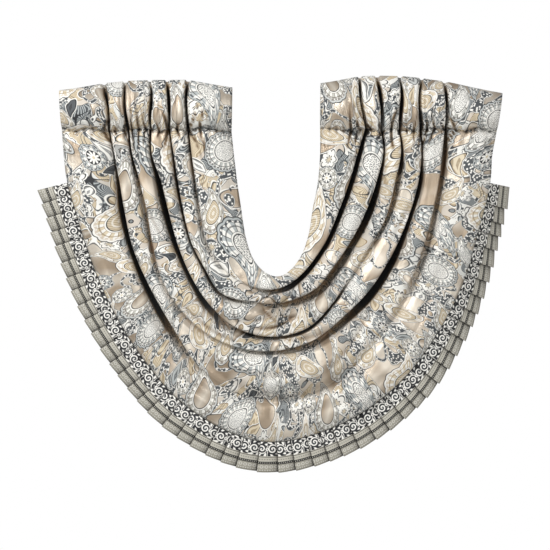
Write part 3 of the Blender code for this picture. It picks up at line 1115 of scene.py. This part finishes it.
@dataclass(frozen=True)
class Palette:
    """The print's inks, and the painted shade and painted satin highlight colours."""

    ivory: tuple = ink(248, 246, 239)
    champagne: tuple = ink(219, 207, 191)
    satin: tuple = ink(178, 160, 138)
    # Painted highlight on the satin.
    painted_satin_highlight: tuple = ink(232, 222, 206)
    gold: tuple = ink(224, 210, 182)
    tan: tuple = ink(148, 124, 90)
    mist: tuple = ink(184, 189, 188)
    slate: tuple = ink(76, 80, 83)
    graphite: tuple = ink(40, 41, 44)
    charcoal: tuple = ink(24, 25, 28)
    greige: tuple = ink(150, 148, 136)
    stone: tuple = ink(166, 162, 149)
    oatmeal: tuple = ink(196, 192, 179)
    # Painted shade in creases and under pleats: a near black, and a brown that is multiplied in.
    shadow: tuple = ink(18, 15, 12)
    painted_shade_brown: tuple = ink(134, 112, 84)


# The roughness of both cloths' backs, and the depth of their weave in millimetres.
REVERSE_ROUGHNESS = 0.85
REVERSE_DEPTH = 0.15


class Dye:
    """A cloth's material while its nodes are being laid."""

    def __init__(self, name: str) -> None:
        """Starts the material.

        Args:
            name: Its name.
        """
        self.material = bpy.data.materials.new(name)
        self.material.use_nodes = True
        self.tree = self.material.node_tree
        self.shader = self.tree.nodes["Principled BSDF"]

    def node(self, kind: str, **settings: object) -> bpy.types.Node:
        """A new node.

        Args:
            kind: Its type.
            settings: What is set on it.

        Returns:
            The node.
        """
        made = self.tree.nodes.new(kind)
        for name, value in settings.items():
            setattr(made, name, value)
        return made

    def signal(self, socket: bpy.types.NodeSocket) -> Signal:
        """A node's output, ready for sums."""
        return Signal(self.tree, socket)

    def uv(self, name: str) -> Signal:
        """A piece's own flat coordinates."""
        return self.signal(self.node("ShaderNodeUVMap", uv_map=name).outputs[0])

    def attribute(self, name: str, output: str = "Fac") -> Signal:
        """One output of a named attribute of the piece."""
        return self.signal(self.node("ShaderNodeAttribute", attribute_name=name).outputs[output])

    def flat(self) -> Signal:
        """The cloth's own flat coordinates, in millimetres."""
        return self.vector("SCALE", self.uv("cloth"), 1 / MM)

    @staticmethod
    def weave(u: Signal, v: Signal, pitch: float) -> Signal:
        """The relief of a plain weave, from 0 to 1."""
        turn = 2 * math.pi / pitch
        return (u * turn).wave() * (v * turn).wave() * 0.5 + 0.5

    def split(self, vector: Signal) -> tuple[Signal, Signal, Signal]:
        """Takes a vector apart.

        Args:
            vector: The vector.

        Returns:
            Its three numbers.
        """
        node = self.node("ShaderNodeSeparateXYZ")
        self.tree.links.new(vector.socket, node.inputs[0])
        return tuple(self.signal(output) for output in node.outputs)

    def join(self, x: Signal, y: Signal) -> Signal:
        """Joins two numbers.

        Args:
            x: The first number.
            y: The second number.

        Returns:
            Their vector.
        """
        node = self.node("ShaderNodeCombineXYZ")
        self.tree.links.new(x.socket, node.inputs[0])
        self.tree.links.new(y.socket, node.inputs[1])
        return self.signal(node.outputs[0])

    def vector(self, operation: str, first: Signal, second: "Signal | tuple | float") -> Signal:
        """One Vector Math node.

        Args:
            operation: The node's operation.
            first: Its first vector.
            second: Its second vector, or the scale.

        Returns:
            The node's result.
        """
        node = self.node("ShaderNodeVectorMath", operation=operation)
        self.tree.links.new(first.socket, node.inputs[0])
        slot = node.inputs[3] if operation == "SCALE" else node.inputs[1]
        if isinstance(second, Signal):
            self.tree.links.new(second.socket, slot)
        else:
            slot.default_value = second
        return self.signal(node.outputs[0])

    def noise(self, place: Signal, scale: float, detail: float = 2.0) -> tuple[Signal, Signal]:
        """Noise in two directions.

        Args:
            place: The flat coordinates.
            scale: How many of its waves fit in a unit of them.
            detail: How much finer noise is added.

        Returns:
            The noise as a number and as a vector.
        """
        node = self.node("ShaderNodeTexNoise", noise_dimensions="2D")
        self.tree.links.new(place.socket, node.inputs["Vector"])
        node.inputs["Scale"].default_value = scale
        node.inputs["Detail"].default_value = detail
        return self.signal(node.outputs[0]), self.signal(node.outputs[1])

    def cells(self, place: Signal, scale: float, feature: str = "F1") -> bpy.types.Node:
        """A plane of uneven cells.

        Args:
            place: The flat coordinates.
            scale: How many cells fit in a unit of them.
            feature: What the cells' distance is measured to.

        Returns:
            The node.
        """
        node = self.node("ShaderNodeTexVoronoi", voronoi_dimensions="2D", feature=feature)
        self.tree.links.new(place.socket, node.inputs["Vector"])
        node.inputs["Scale"].default_value = scale
        return node

    def mix(
        self, share: "Signal | float", first: object, second: object, blend: str = "MIX"
    ) -> Signal:
        """The first colour, turning to the second as the share goes from 0 to 1.

        Args:
            share: How much of the second colour there is.
            first: The first colour.
            second: The second colour.
            blend: How the second colour is laid over the first.

        Returns:
            The colour between them.
        """
        node = self.node("ShaderNodeMix", data_type="RGBA", blend_type=blend)
        for slot, value in ((0, share), (6, first), (7, second)):
            if isinstance(value, Signal):
                self.tree.links.new(value.socket, node.inputs[slot])
            else:
                node.inputs[slot].default_value = value
        return self.signal(node.outputs[2])

    def paint(self, colour: object, *coats: tuple) -> Signal:
        """Lays coats over a colour, one after another.

        Args:
            colour: The colour to start with.
            coats: For each coat, how much of it there is, and its colour.

        Returns:
            The colour with the coats on it.
        """
        for share, coat in coats:
            colour = self.mix(share, colour, coat)
        return colour

    def finish(self, colour: Signal, roughness: "Signal | float", height: Signal, depth: float) -> None:
        """Joins the colour, roughness and relief to the shader.

        Args:
            colour: The cloth's colour.
            roughness: Its roughness.
            height: Its relief, from 0 to 1.
            depth: The relief's depth, in millimetres.
        """
        bump = self.node("ShaderNodeBump")
        bump.inputs["Distance"].default_value = depth * MM
        self.tree.links.new(height.socket, bump.inputs["Height"])
        self.tree.links.new(bump.outputs[0], self.shader.inputs["Normal"])
        self.tree.links.new(colour.socket, self.shader.inputs["Base Color"])
        if isinstance(roughness, Signal):
            self.tree.links.new(roughness.socket, self.shader.inputs["Roughness"])
        else:
            self.shader.inputs["Roughness"].default_value = roughness


@dataclass(frozen=True)
class PrintedCloth:
    """The traditional paisley and flower print in slate and gold on ivory and champagne satin.

    A motif's parts are shares of its size, the parts of its middle are shares of the middle's. The
    ground's levels cut through slow noise, and its sizes are in millimetres.
    """

    inks: Palette = Palette()
    thread: float = 0.6
    weave_depth: float = 0.12
    roughness: float = 0.62
    satin_gloss: float = 0.3
    satin_metal: float = 0.4
    sheen: float = 0.12

    scallop: float = 0.05
    line: float = 0.02
    core_line: float = 0.04
    core_rim: float = 0.05
    beads: tuple[float, float] = (0.835, 0.88)
    rim_from: float = 0.82
    edge_from: float = 0.90
    outline_from: float = 0.965

    ivory_from: float = 0.50
    floret_from: float = 0.57
    gold_from: float = 0.60
    slate_to: float = 0.395
    contour: float = 0.008
    crisp: float = 0.01
    satin_from: float = 0.582
    floret_pitch: float = 23.0
    floret_size: float = 8.5
    leaf_pitch: float = 62.0
    leaf_size: float = 29.0
    most_spin: float = 12.6
    stroke_pitch: float = 6.0
    arc_pitch: float = 170.0
    bead_pitch: float = 8.5

    def middle(
        self, dye: Dye, x: Signal, y: Signal, inner: Signal, scallop: Signal, fill: Signal, tone: Signal
    ) -> tuple[Signal, Signal]:
        """What a motif's middle holds.

        Args:
            dye: The material.
            x: The place along the motif.
            y: The place across it.
            inner: How far out the place is, where 1 is the middle's edge.
            scallop: The petals' wave.
            fill: Which filling it has.
            tone: The motif's tone.

        Returns:
            The colour, and whether it is satin.
        """
        inks = self.inks
        hatch = ((x + y * 1.6) * 55.0).wave().past(0.1, 0.5)
        rings = (inner * 14.0).wave().past(0.55, 0.3)
        dots = dye.signal(dye.cells(dye.join(x, y), 22.0).outputs["Distance"]).past(0.28, 0.12)
        dark = dye.mix(tone, inks.graphite, inks.slate)
        petals = (inner - scallop * 0.55).past(0.36, 0.08)
        daisy = dye.paint(inks.ivory, (petals, dark), (inner.past(0.2, 0.06).flip(), inks.gold))
        # Painted highlight across a satin middle, from the satin's tone to a pale sheen.
        painted_sheen = (y * 2.6 + x * 0.5 + 0.2).size().past(0.42, 0.84).flip()
        is_satin = fill.band(Fill.SATIN.value - 0.5, Fill.SATIN.value + 0.5, 0.1)
        colour = dye.paint(
            inks.gold,
            (hatch * 0.7, inks.tan),
            (rings * 0.6, inks.ivory),
            (fill.past(Fill.STIPPLE.value + 0.5, 0.1).flip(), dye.mix(dots, inks.slate, inks.ivory)),
            (is_satin, dye.mix(painted_sheen, inks.satin, inks.painted_satin_highlight)),
            (fill.past(Fill.DAISY.value - 0.5, 0.1), daisy),
        )
        return colour, is_satin

    def motif(self, dye: Dye, layer: str) -> tuple[Signal, Signal, Signal]:
        """One layer of the print's large motifs.

        Args:
            dye: The material.
            layer: The layer's name.

        Returns:
            The colour, where the motifs lie, and where their satin lies.
        """
        inks = self.inks
        x, y, _ = dye.split(dye.uv(f"motif_{layer}"))
        aspect, taper, curl = dye.split(dye.attribute(f"shape_{layer}", "Vector"))
        petals, core, fill = dye.split(dye.attribute(f"style_{layer}", "Vector"))
        tone = dye.attribute(f"style_{layer}", "Alpha")
        ahead = x.do("MAXIMUM", 0.0)
        narrow = (taper * x).flip().do("MAXIMUM", LEAST_TAPER)
        side = (y - curl * ahead * ahead) / aspect / narrow
        out = (x * x + side * side).do("SQRT")
        turn = side.do("ARCTAN2", x) * petals
        scallop = (turn * 0.5).wave().size()
        edge = out - scallop * self.scallop + self.scallop
        middle, is_satin = self.middle(dye, x, y, out / core, scallop, fill, tone)
        deep = dye.mix(tone, inks.graphite, inks.tan)
        light = dye.mix(tone, inks.mist, inks.gold)
        nested = ((out - core) * 34.0).wave().past(0.72, 0.2)
        ring = dye.paint(
            dye.mix(turn.wave().past(0.1, 0.3), inks.ivory, light),
            (scallop.past(0.13, 0.12).flip(), deep),
            (nested * 0.7, deep),
        )
        beads = (turn * 2.0).wave().past(0.4, 0.3) * edge.band(*self.beads, self.line)
        colour = dye.paint(
            dye.mix(out.past(core, self.line), middle, ring),
            (out.band(core - self.core_line, core, self.line), inks.graphite),
            (out.band(core, core + self.core_rim, self.line), inks.ivory),
            (edge.past(self.rim_from, self.line), dye.mix(tone, inks.slate, inks.champagne)),
            (beads, inks.ivory),
            (edge.past(self.edge_from, self.line), dye.mix(tone, inks.mist, inks.ivory)),
            (edge.past(self.outline_from, self.line), inks.graphite),
        )
        satin = is_satin * out.past(core - self.core_rim, self.line).flip()
        return colour, edge.past(1.0, self.line).flip(), satin

    def patches(self, dye: Dye, flat: Signal, drift: Signal) -> Signal:
        """The ground's patches of plain, hatched and flowered cloth, each with a drawn outline.

        Args:
            dye: The material.
            flat: The flat coordinates, in millimetres.
            drift: A slow change of direction.

        Returns:
            The colour.
        """
        inks = self.inks
        swell = dye.noise(flat, 0.013, 0.0)[0]
        patch = dye.noise(flat, 0.017, 0.0)[0]
        haze = dye.noise(flat, 0.0085, 0.0)[0].past(0.5, 0.5)
        hatch = self.strokes(dye, flat, drift)
        colour = dye.paint(
            dye.mix(swell.past(self.ivory_from, self.crisp), inks.champagne, inks.ivory),
            (haze * 0.35, inks.mist),
            (patch.past(self.gold_from, self.crisp), dye.mix(hatch * 0.7, inks.gold, inks.tan)),
            (patch.past(self.slate_to, self.crisp).flip(), dye.mix(hatch, inks.slate, inks.mist)),
        )
        florets, _ = self.scatter(dye, flat, self.floret_pitch, self.floret_size, colour)
        colour = dye.mix(swell.past(self.floret_from, self.crisp), colour, florets)
        for field, level, shade in (
            (patch, self.gold_from, inks.tan),
            (patch, self.slate_to, inks.charcoal),
            (swell, self.ivory_from, inks.graphite),
            (swell, self.floret_from, inks.slate),
        ):
            near = (field - level).size().past(self.contour, self.contour / 2).flip()
            colour = dye.mix(near, colour, shade)
        return colour

    def ground(self, dye: Dye, flat: Signal) -> tuple[Signal, Signal]:
        """What fills the print between the large motifs.

        Args:
            dye: The material.
            flat: The flat coordinates, in millimetres.

        Returns:
            The colour, and where its satin lies.
        """
        inks = self.inks
        drift = dye.vector("SUBTRACT", dye.noise(flat, 0.020, 0.0)[1], (0.5, 0.5, 0.5))
        colour = self.patches(dye, flat, drift)
        bent = dye.vector("ADD", flat, dye.vector("SCALE", drift, 26.0))
        colour, satin = self.scatter(dye, bent, self.leaf_pitch, self.leaf_size, colour)
        plain = dye.noise(flat, 0.0074, 0.0)[0]
        # Painted sheen on the plain satin patches, from slow noise.
        shine = dye.noise(flat, 0.014, 0.0)[0].past(0.5, 0.4)
        inside = plain.past(self.satin_from, 0.006)
        colour = dye.paint(
            colour,
            (plain.past(self.satin_from - 0.017, 0.006), inks.ivory),
            (plain.past(self.satin_from - 0.007, 0.006), inks.graphite),
            (inside, dye.mix(shine, inks.satin, inks.painted_satin_highlight)),
        )
        satin = satin.do("MAXIMUM", inside)
        wide = dye.vector("ADD", flat, dye.vector("SCALE", drift, 120.0))
        arcs = dye.cells(wide, 1 / self.arc_pitch, "DISTANCE_TO_EDGE")
        arc = dye.signal(arcs.outputs["Distance"])
        beads = dye.signal(dye.cells(flat, 1 / self.bead_pitch).outputs["Distance"])
        colour = dye.paint(
            colour,
            (arc.past(0.066, 0.005).flip(), inks.graphite),
            (arc.past(0.058, 0.005).flip(), inks.ivory),
            (arc.past(0.044, 0.005).flip(), inks.slate),
            (beads.past(0.30, 0.1).flip() * arc.past(0.040, 0.008).flip(), inks.ivory),
        )
        return colour, satin * arc.past(0.066, 0.005)

    def strokes(self, dye: Dye, flat: Signal, drift: Signal) -> Signal:
        """Fine drawn strokes that turn slowly over the cloth.

        Args:
            dye: The material.
            flat: The flat coordinates, in millimetres.
            drift: A slow change of direction.

        Returns:
            1 on a stroke and 0 between them.
        """
        x, y, _ = dye.split(dye.vector("ADD", flat, dye.vector("SCALE", drift, 90.0)))
        return ((x * 0.8 + y * 0.6) * (2 * math.pi / self.stroke_pitch)).wave().past(0.25, 0.8)

    def scatter(
        self, dye: Dye, place: Signal, pitch: float, size: float, colour: Signal
    ) -> tuple[Signal, Signal]:
        """Leaves, drops, flowers and satin ovals strewn over the ground, one to a cell.

        Args:
            dye: The material.
            place: The flat coordinates, in millimetres.
            pitch: How far apart they lie, in millimetres.
            size: Half the length of one.
            colour: The ground's colour.

        Returns:
            The colour with them on it, and where their satin lies.
        """
        inks = self.inks
        cells = dye.cells(place, 1 / pitch)
        pick, spin, hue = dye.split(dye.signal(cells.outputs["Color"]))
        centre = dye.signal(cells.outputs["Position"])
        off_x, off_y, _ = dye.split(dye.vector("SUBTRACT", place, centre))
        turn = spin * self.most_spin
        sine, cosine = turn.wave(), turn.do("COSINE")
        x = (off_x * cosine + off_y * sine) / size
        y = (off_y * cosine - off_x * sine) / size
        is_flower = pick.past(0.34, 0.02).flip()
        is_leaf = is_flower.flip()
        curl = (hue - 0.5) * x * x * 0.9
        taper = ((x * 0.55) * is_leaf).flip().do("MAXIMUM", 0.2)
        side = (y - curl * is_leaf) / (is_flower * 0.38 + 0.56) / taper
        out = (x * x + side * side).do("SQRT")
        lobes = (side.do("ARCTAN2", x) * 4.0).wave().size()
        bloom = out + (lobes.flip() * 0.26) * is_flower
        veins = ((x.size() * 6.0) + (side.size() * 9.0)).wave().past(0.35, 0.5)
        is_ivory, is_mist, is_slate = (hue.past(level, 0.02) for level in (0.36, 0.56, 0.74))
        light = dye.paint(inks.gold, (is_ivory, inks.ivory), (is_mist, inks.mist))
        light = dye.mix(is_slate, light, inks.slate)
        deep = dye.paint(inks.tan, (is_ivory, inks.slate), (is_mist, inks.charcoal))
        heart = dye.paint(
            inks.gold,
            (bloom.past(0.34, 0.05), inks.ivory),
            (bloom.band(0.28, 0.38, 0.04), inks.graphite),
        )
        satin = pick.past(0.84, 0.01) * out.past(0.74, 0.04).flip()
        # Painted highlight across each satin oval.
        painted_sheen = (y * 2.4 + 0.2).size().past(0.4, 0.8).flip()
        inside = dye.paint(
            dye.mix(veins * 0.7, light, deep),
            (is_flower, heart),
            (satin, dye.mix(painted_sheen, inks.satin, inks.painted_satin_highlight)),
        )
        colour = dye.paint(
            colour,
            (bloom.past(1.02, 0.05).flip(), inks.ivory),
            (bloom.past(0.90, 0.05).flip(), inks.graphite),
            (bloom.past(0.80, 0.05).flip(), inside),
        )
        return colour, satin

    def make(self) -> bpy.types.Material:
        """The face of the cloth, with painted shade where it lies in a crease.

        Returns:
            The material.
        """
        dye = Dye("printed_cloth_face")
        flat = dye.flat()
        colour, satin = self.ground(dye, flat)
        for layer in reversed(LAYERS):
            motif, mask, shine = self.motif(dye, layer)
            colour = dye.mix(mask, colour, motif)
            satin = satin * mask.flip() + shine * mask
        # Painted crease shade: a brown multiplied in, then near black where the crease attribute is
        # darkest.
        crease = dye.attribute("crease")
        colour = dye.mix((crease * 2.2).do("MINIMUM", 1.0), colour, self.inks.painted_shade_brown, "MULTIPLY")
        colour = dye.mix(crease.past(0.68, 0.36), colour, self.inks.shadow)
        u, v, _ = dye.split(flat)
        roughness = (satin * -self.satin_gloss) + self.roughness
        dye.finish(colour, roughness, dye.weave(u, v, self.thread), self.weave_depth)
        metal = satin * crease.flip() * self.satin_metal
        dye.tree.links.new(metal.socket, dye.shader.inputs["Metallic"])
        dye.shader.inputs["Sheen Weight"].default_value = self.sheen
        return dye.material

    def reverse(self) -> bpy.types.Material:
        """The plain back of the cloth, with the print showing through a little.

        Returns:
            The material.
        """
        dye = Dye("printed_cloth_reverse")
        flat = dye.flat()
        rim = dye.signal(dye.cells(flat, 1 / 34, "DISTANCE_TO_EDGE").outputs["Distance"])
        colour = dye.paint(
            self.inks.oatmeal,
            (rim.past(0.09, 0.05).flip() * 0.2, self.inks.mist),
            (dye.noise(flat, 0.03, 3.0)[0] * 0.25, self.inks.champagne),
        )
        u, v, _ = dye.split(flat)
        dye.finish(colour, REVERSE_ROUGHNESS, dye.weave(u, v, self.thread), REVERSE_DEPTH)
        return dye.material


@dataclass(frozen=True)
class BorderCloth:
    """The striped border: a scroll band, dotted bands and a ringed band, from the seam to the hem.

    Each band is given by where it starts, in millimetres from the seam.
    """

    inks: Palette = Palette()
    thread: float = 0.604
    weave_depth: float = 0.12
    roughness: float = 0.75
    soft: float = 0.5
    seam_line: tuple[float, float] = (3.0, 4.2)
    scroll_pitch: float = 25.0
    scroll_middle: float = 20.8
    scroll_reach: float = 11.6
    leaf_from: float = 12.6
    edge_band: float = 37.4
    edge_line: float = 39.0
    dot_band: float = 40.4
    dot_row: float = 45.4
    dot_pitch: float = 5.2
    chain_band: float = 50.6
    chain_row: float = 53.6
    chain_pitch: float = 4.2
    ring_band: float = 56.6
    ring_row: float = 63.0
    ring_pitch: float = 9.4
    hem_row: float = 71.0

    def scrolls(self, dye: Dye, u: Signal, v: Signal) -> Signal:
        """White scrolls and small diamonds on charcoal, every second scroll upside down.

        Args:
            dye: The material.
            u: The place along the strip, in millimetres.
            v: The place across it, from the scroll band's middle.

        Returns:
            The band's colour.
        """
        inks = self.inks
        flip = ((u / self.scroll_pitch * 0.5).do("FRACT") - 0.5).do("SIGN")
        x = u.repeat(self.scroll_pitch)
        y = v * flip
        out = (x * x + y * y).do("SQRT")
        angle = y.do("ARCTAN2", x)
        spiral = (out * 0.9 - angle).wave().past(0.2, 0.5)
        diamond = (x.size() * -1.0 + self.scroll_pitch / 2 + v.size()).band(1.8, 4.6, 0.8)
        leaf = (angle * 7.0 + out * 0.35).wave().past(0.2, 0.4) * out.past(self.leaf_from, 0.8)
        return dye.paint(
            dye.mix(out.past(5.0, 4.0).flip(), inks.graphite, inks.slate),
            (spiral * out.past(self.scroll_reach, 1.0).flip(), inks.ivory),
            (leaf, inks.ivory),
            (diamond, inks.ivory),
        )

    def rings(self, dye: Dye, u: Signal, v: Signal) -> Signal:
        """The pale rings above the hem, and the row of dots along it.

        Args:
            dye: The material.
            u: The place along the strip, in millimetres.
            v: The place across it.

        Returns:
            The band's colour.
        """
        inks = self.inks
        x, y = u.repeat(self.ring_pitch), v - self.ring_row
        ring = (x * x + y * y).do("SQRT").band(2.0, 3.8, 0.9)
        return dye.paint(
            inks.stone,
            (ring * 0.55, inks.ivory),
            (self.dot(u.repeat(self.ring_pitch / 2), v - self.hem_row, 1.5) * 0.6, inks.ivory),
            ((u * 3.1).wave().size() * 0.18, inks.greige),
        )

    def make(self) -> bpy.types.Material:
        """The face of the border, with painted shade under each pleat.

        Returns:
            The material.
        """
        inks = self.inks
        dye = Dye("border_cloth_face")
        u, v, _ = dye.split(dye.flat())
        dots = self.dot(u.repeat(self.dot_pitch), v - self.dot_row, 1.4) * 0.6
        chain = self.dot(u.repeat(self.chain_pitch), v - self.chain_row, 1.0)
        crease = dye.attribute("crease")
        colour = dye.paint(
            self.scrolls(dye, u, v - self.scroll_middle),
            (v.past(self.seam_line[1], 0.6).flip(), inks.greige),
            (v.band(*self.seam_line, self.soft), inks.charcoal),
            (v.past(self.edge_band, self.soft), inks.oatmeal),
            (v.past(self.edge_line, self.soft), inks.charcoal),
            (v.past(self.dot_band, self.soft), dye.mix(dots, inks.oatmeal, inks.slate)),
            (v.past(self.chain_band, self.soft), dye.mix(chain, inks.charcoal, inks.oatmeal)),
            (v.past(self.ring_band, self.soft), self.rings(dye, u, v)),
            # Painted shade under each pleat.
            (crease * 0.9, inks.shadow),
        )
        dye.finish(colour, self.roughness, dye.weave(u, v, self.thread), self.weave_depth)
        return dye.material

    @staticmethod
    def dot(u: Signal, v: Signal, radius: float) -> Signal:
        """1 inside a round dot and 0 outside it."""
        return (u * u + v * v).do("SQRT").past(radius, 0.5).flip()

    def reverse(self) -> bpy.types.Material:
        """The back of the border, with its bands showing through.

        Returns:
            The material.
        """
        dye = Dye("border_cloth_reverse")
        u, v, _ = dye.split(dye.flat())
        colour = dye.mix(v.past(31.0, 1.0), self.inks.mist, self.inks.oatmeal)
        dye.finish(colour, REVERSE_ROUGHNESS, dye.weave(u, v, self.thread), REVERSE_DEPTH)
        return dye.material


@dataclass(frozen=True)
class Thread:
    """The sewing thread."""

    inks: Palette = Palette()

    def make(self) -> bpy.types.Material:
        """A twisted thread, with a painted highlight where its twist stands up.

        Returns:
            The material.
        """
        dye = Dye("sewing_thread")
        place = dye.signal(dye.node("ShaderNodeTexCoord").outputs["Object"])
        twist = dye.noise(place, 900.0, 1.0)[0]
        # Painted highlight: the twist's height also lightens the colour.
        colour = dye.mix(twist, self.inks.mist, self.inks.oatmeal)
        dye.finish(colour, 0.7, twist, 0.1)
        return dye.material


@dataclass
class Studio:
    """The camera at the photo's angle, soft light, and a pale floor under the hanging swag."""

    middle_x: float = -0.0025
    middle_z: float = -0.4315
    frame_width: float = 1.375
    distance: float = 8.0
    sensor: float = 36.0
    sky_light: float = 0.12
    floor_z: float = -2.1
    floor_radius: float = 3.0

    def build(self) -> None:
        """Makes the camera, lights, world and floor."""
        data = bpy.data.cameras.new("camera")
        data.sensor_width = self.sensor
        data.lens = self.sensor * self.distance / self.frame_width
        camera = bpy.data.objects.new("camera", data)
        camera.location = (self.middle_x, -self.distance, self.middle_z)
        camera.rotation_euler = (math.pi / 2, 0, 0)
        bpy.context.scene.collection.objects.link(camera)
        bpy.context.scene.camera = camera
        self.lamp("key", (-2.7, -2.6, 2.1), 1.3, 184.0)
        self.lamp("fill", (2.6, -3.2, 0.2), 2.2, 80.0)
        self.sky()
        self.floor()
        bpy.context.scene.view_settings.view_transform = "Standard"

    def lamp(self, name: str, place: tuple[float, float, float], size: float, power: float) -> None:
        """One soft lamp that faces the swag.

        Args:
            name: Its name.
            place: Where it stands.
            size: The width of its face.
            power: Its power in watts.
        """
        data = bpy.data.lights.new(name, "AREA")
        data.size = size
        data.energy = power
        lamp = bpy.data.objects.new(name, data)
        lamp.location = place
        way = np.array((0.0, 0.0, self.middle_z)) - place
        pitch = math.atan2(math.hypot(way[0], way[1]), -way[2])
        lamp.rotation_euler = (pitch, 0.0, math.atan2(-way[0], way[1]))
        bpy.context.scene.collection.objects.link(lamp)

    def sky(self) -> None:
        """Even white light, and a white background."""
        world = bpy.data.worlds.new("studio")
        world.use_nodes = True
        tree = world.node_tree
        lit = tree.nodes["Background"]
        lit.inputs["Strength"].default_value = self.sky_light
        seen = tree.nodes.new("ShaderNodeBackground")
        for background in (lit, seen):
            background.inputs["Color"].default_value = (1, 1, 1, 1)
        mix = tree.nodes.new("ShaderNodeMixShader")
        ray = tree.nodes.new("ShaderNodeLightPath")
        tree.links.new(ray.outputs["Is Camera Ray"], mix.inputs[0])
        tree.links.new(lit.outputs[0], mix.inputs[1])
        tree.links.new(seen.outputs[0], mix.inputs[2])
        tree.links.new(mix.outputs[0], tree.nodes["World Output"].inputs[0])
        bpy.context.scene.world = world

    def floor(self) -> None:
        """The pale floor."""
        bpy.ops.mesh.primitive_circle_add(vertices=64, radius=self.floor_radius, fill_type="NGON")
        floor = bpy.context.active_object
        floor.name = "floor"
        floor.location = (0, 0, self.floor_z)
        material = bpy.data.materials.new("pale_floor")
        material.use_nodes = True
        shader = material.node_tree.nodes["Principled BSDF"]
        shader.inputs["Base Color"].default_value = (0.82, 0.82, 0.81, 1)
        shader.inputs["Roughness"].default_value = 0.9
        floor.data.materials.append(material)


# How each cloth was cut: its flat width and length in metres, its flat area in square metres, how it
# is held, and what it rests on.
Flat = namedtuple("Flat", "width length area held rests_on")


def dress(
    cloth: ClothMesh, node: str, finishes: tuple, slot: str
) -> bpy.types.Object:
    """Makes one cloth piece, gives it its finish and lets it stand for its node.

    Args:
        cloth: The piece's grid.
        node: The node that it replaces.
        finishes: The materials of its face and its reverse.
        slot: Which cloth it is; the printed cloth gets its motifs.

    Returns:
        The finished piece.
    """
    piece = cloth.build()
    if slot == PRINT_SLOT:
        cloth.print_motifs(piece.data)
    for material in finishes:
        piece.data.materials.append(material)
    cloth.give_thickness(piece)
    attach(piece, "root")
    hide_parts(node)
    area = sum(face.area for face in piece.data.polygons)
    LOG.info("%s: %d faces, %.3f square metres", piece.name, len(piece.data.polygons), area)
    return piece


def sew(name: str, seam: np.ndarray, thread: bpy.types.Material) -> bpy.types.Object:
    """Lays one line of stitches on the face of the cloth.

    Args:
        name: The stitches' name.
        seam: The points that they follow.
        thread: The thread's material.

    Returns:
        The stitches.
    """
    piece = StitchLine(name, seam - (0.0, STITCH_LIFT, 0.0)).build(thread)
    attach(piece, "root")
    LOG.info("%s: %d faces", piece.name, len(piece.data.polygons))
    return piece


def main() -> None:
    """Builds every piece in order."""
    logging.basicConfig(level=logging.INFO, format="%(name)s: %(message)s")
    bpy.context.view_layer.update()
    Studio().build()
    thread = Thread().make()
    print_cloth = (PrintedCloth().make(), PrintedCloth().reverse())
    border_cloth = (BorderCloth().make(), BorderCloth().reverse())
    panel = SwagPanel()
    cloth = panel.grid()
    sewn = (
        sew("opening_stitches", cloth.points[:, HEM_COLUMN], thread),
        sew("border_seam_stitches", cloth.points[:, SEAM_COLUMN], thread),
    )
    dress(cloth, "swag_panel", print_cloth, PRINT_SLOT)
    for heading in HEADINGS:
        side = heading.side.value
        band = heading.grid(panel)
        sewn = (sew(f"heading_stitches_{side}", band.points[SEAM_ROW], thread),)
        dress(band, f"heading_{side}", print_cloth, PRINT_SLOT)
    border = PleatedTrim().grid(cloth.points[:, 0], FORM.even_distances(panel.rows))
    dress(border, "pleated_trim", border_cloth, TRIM_SLOT)


if __name__ == "__main__":
    main()
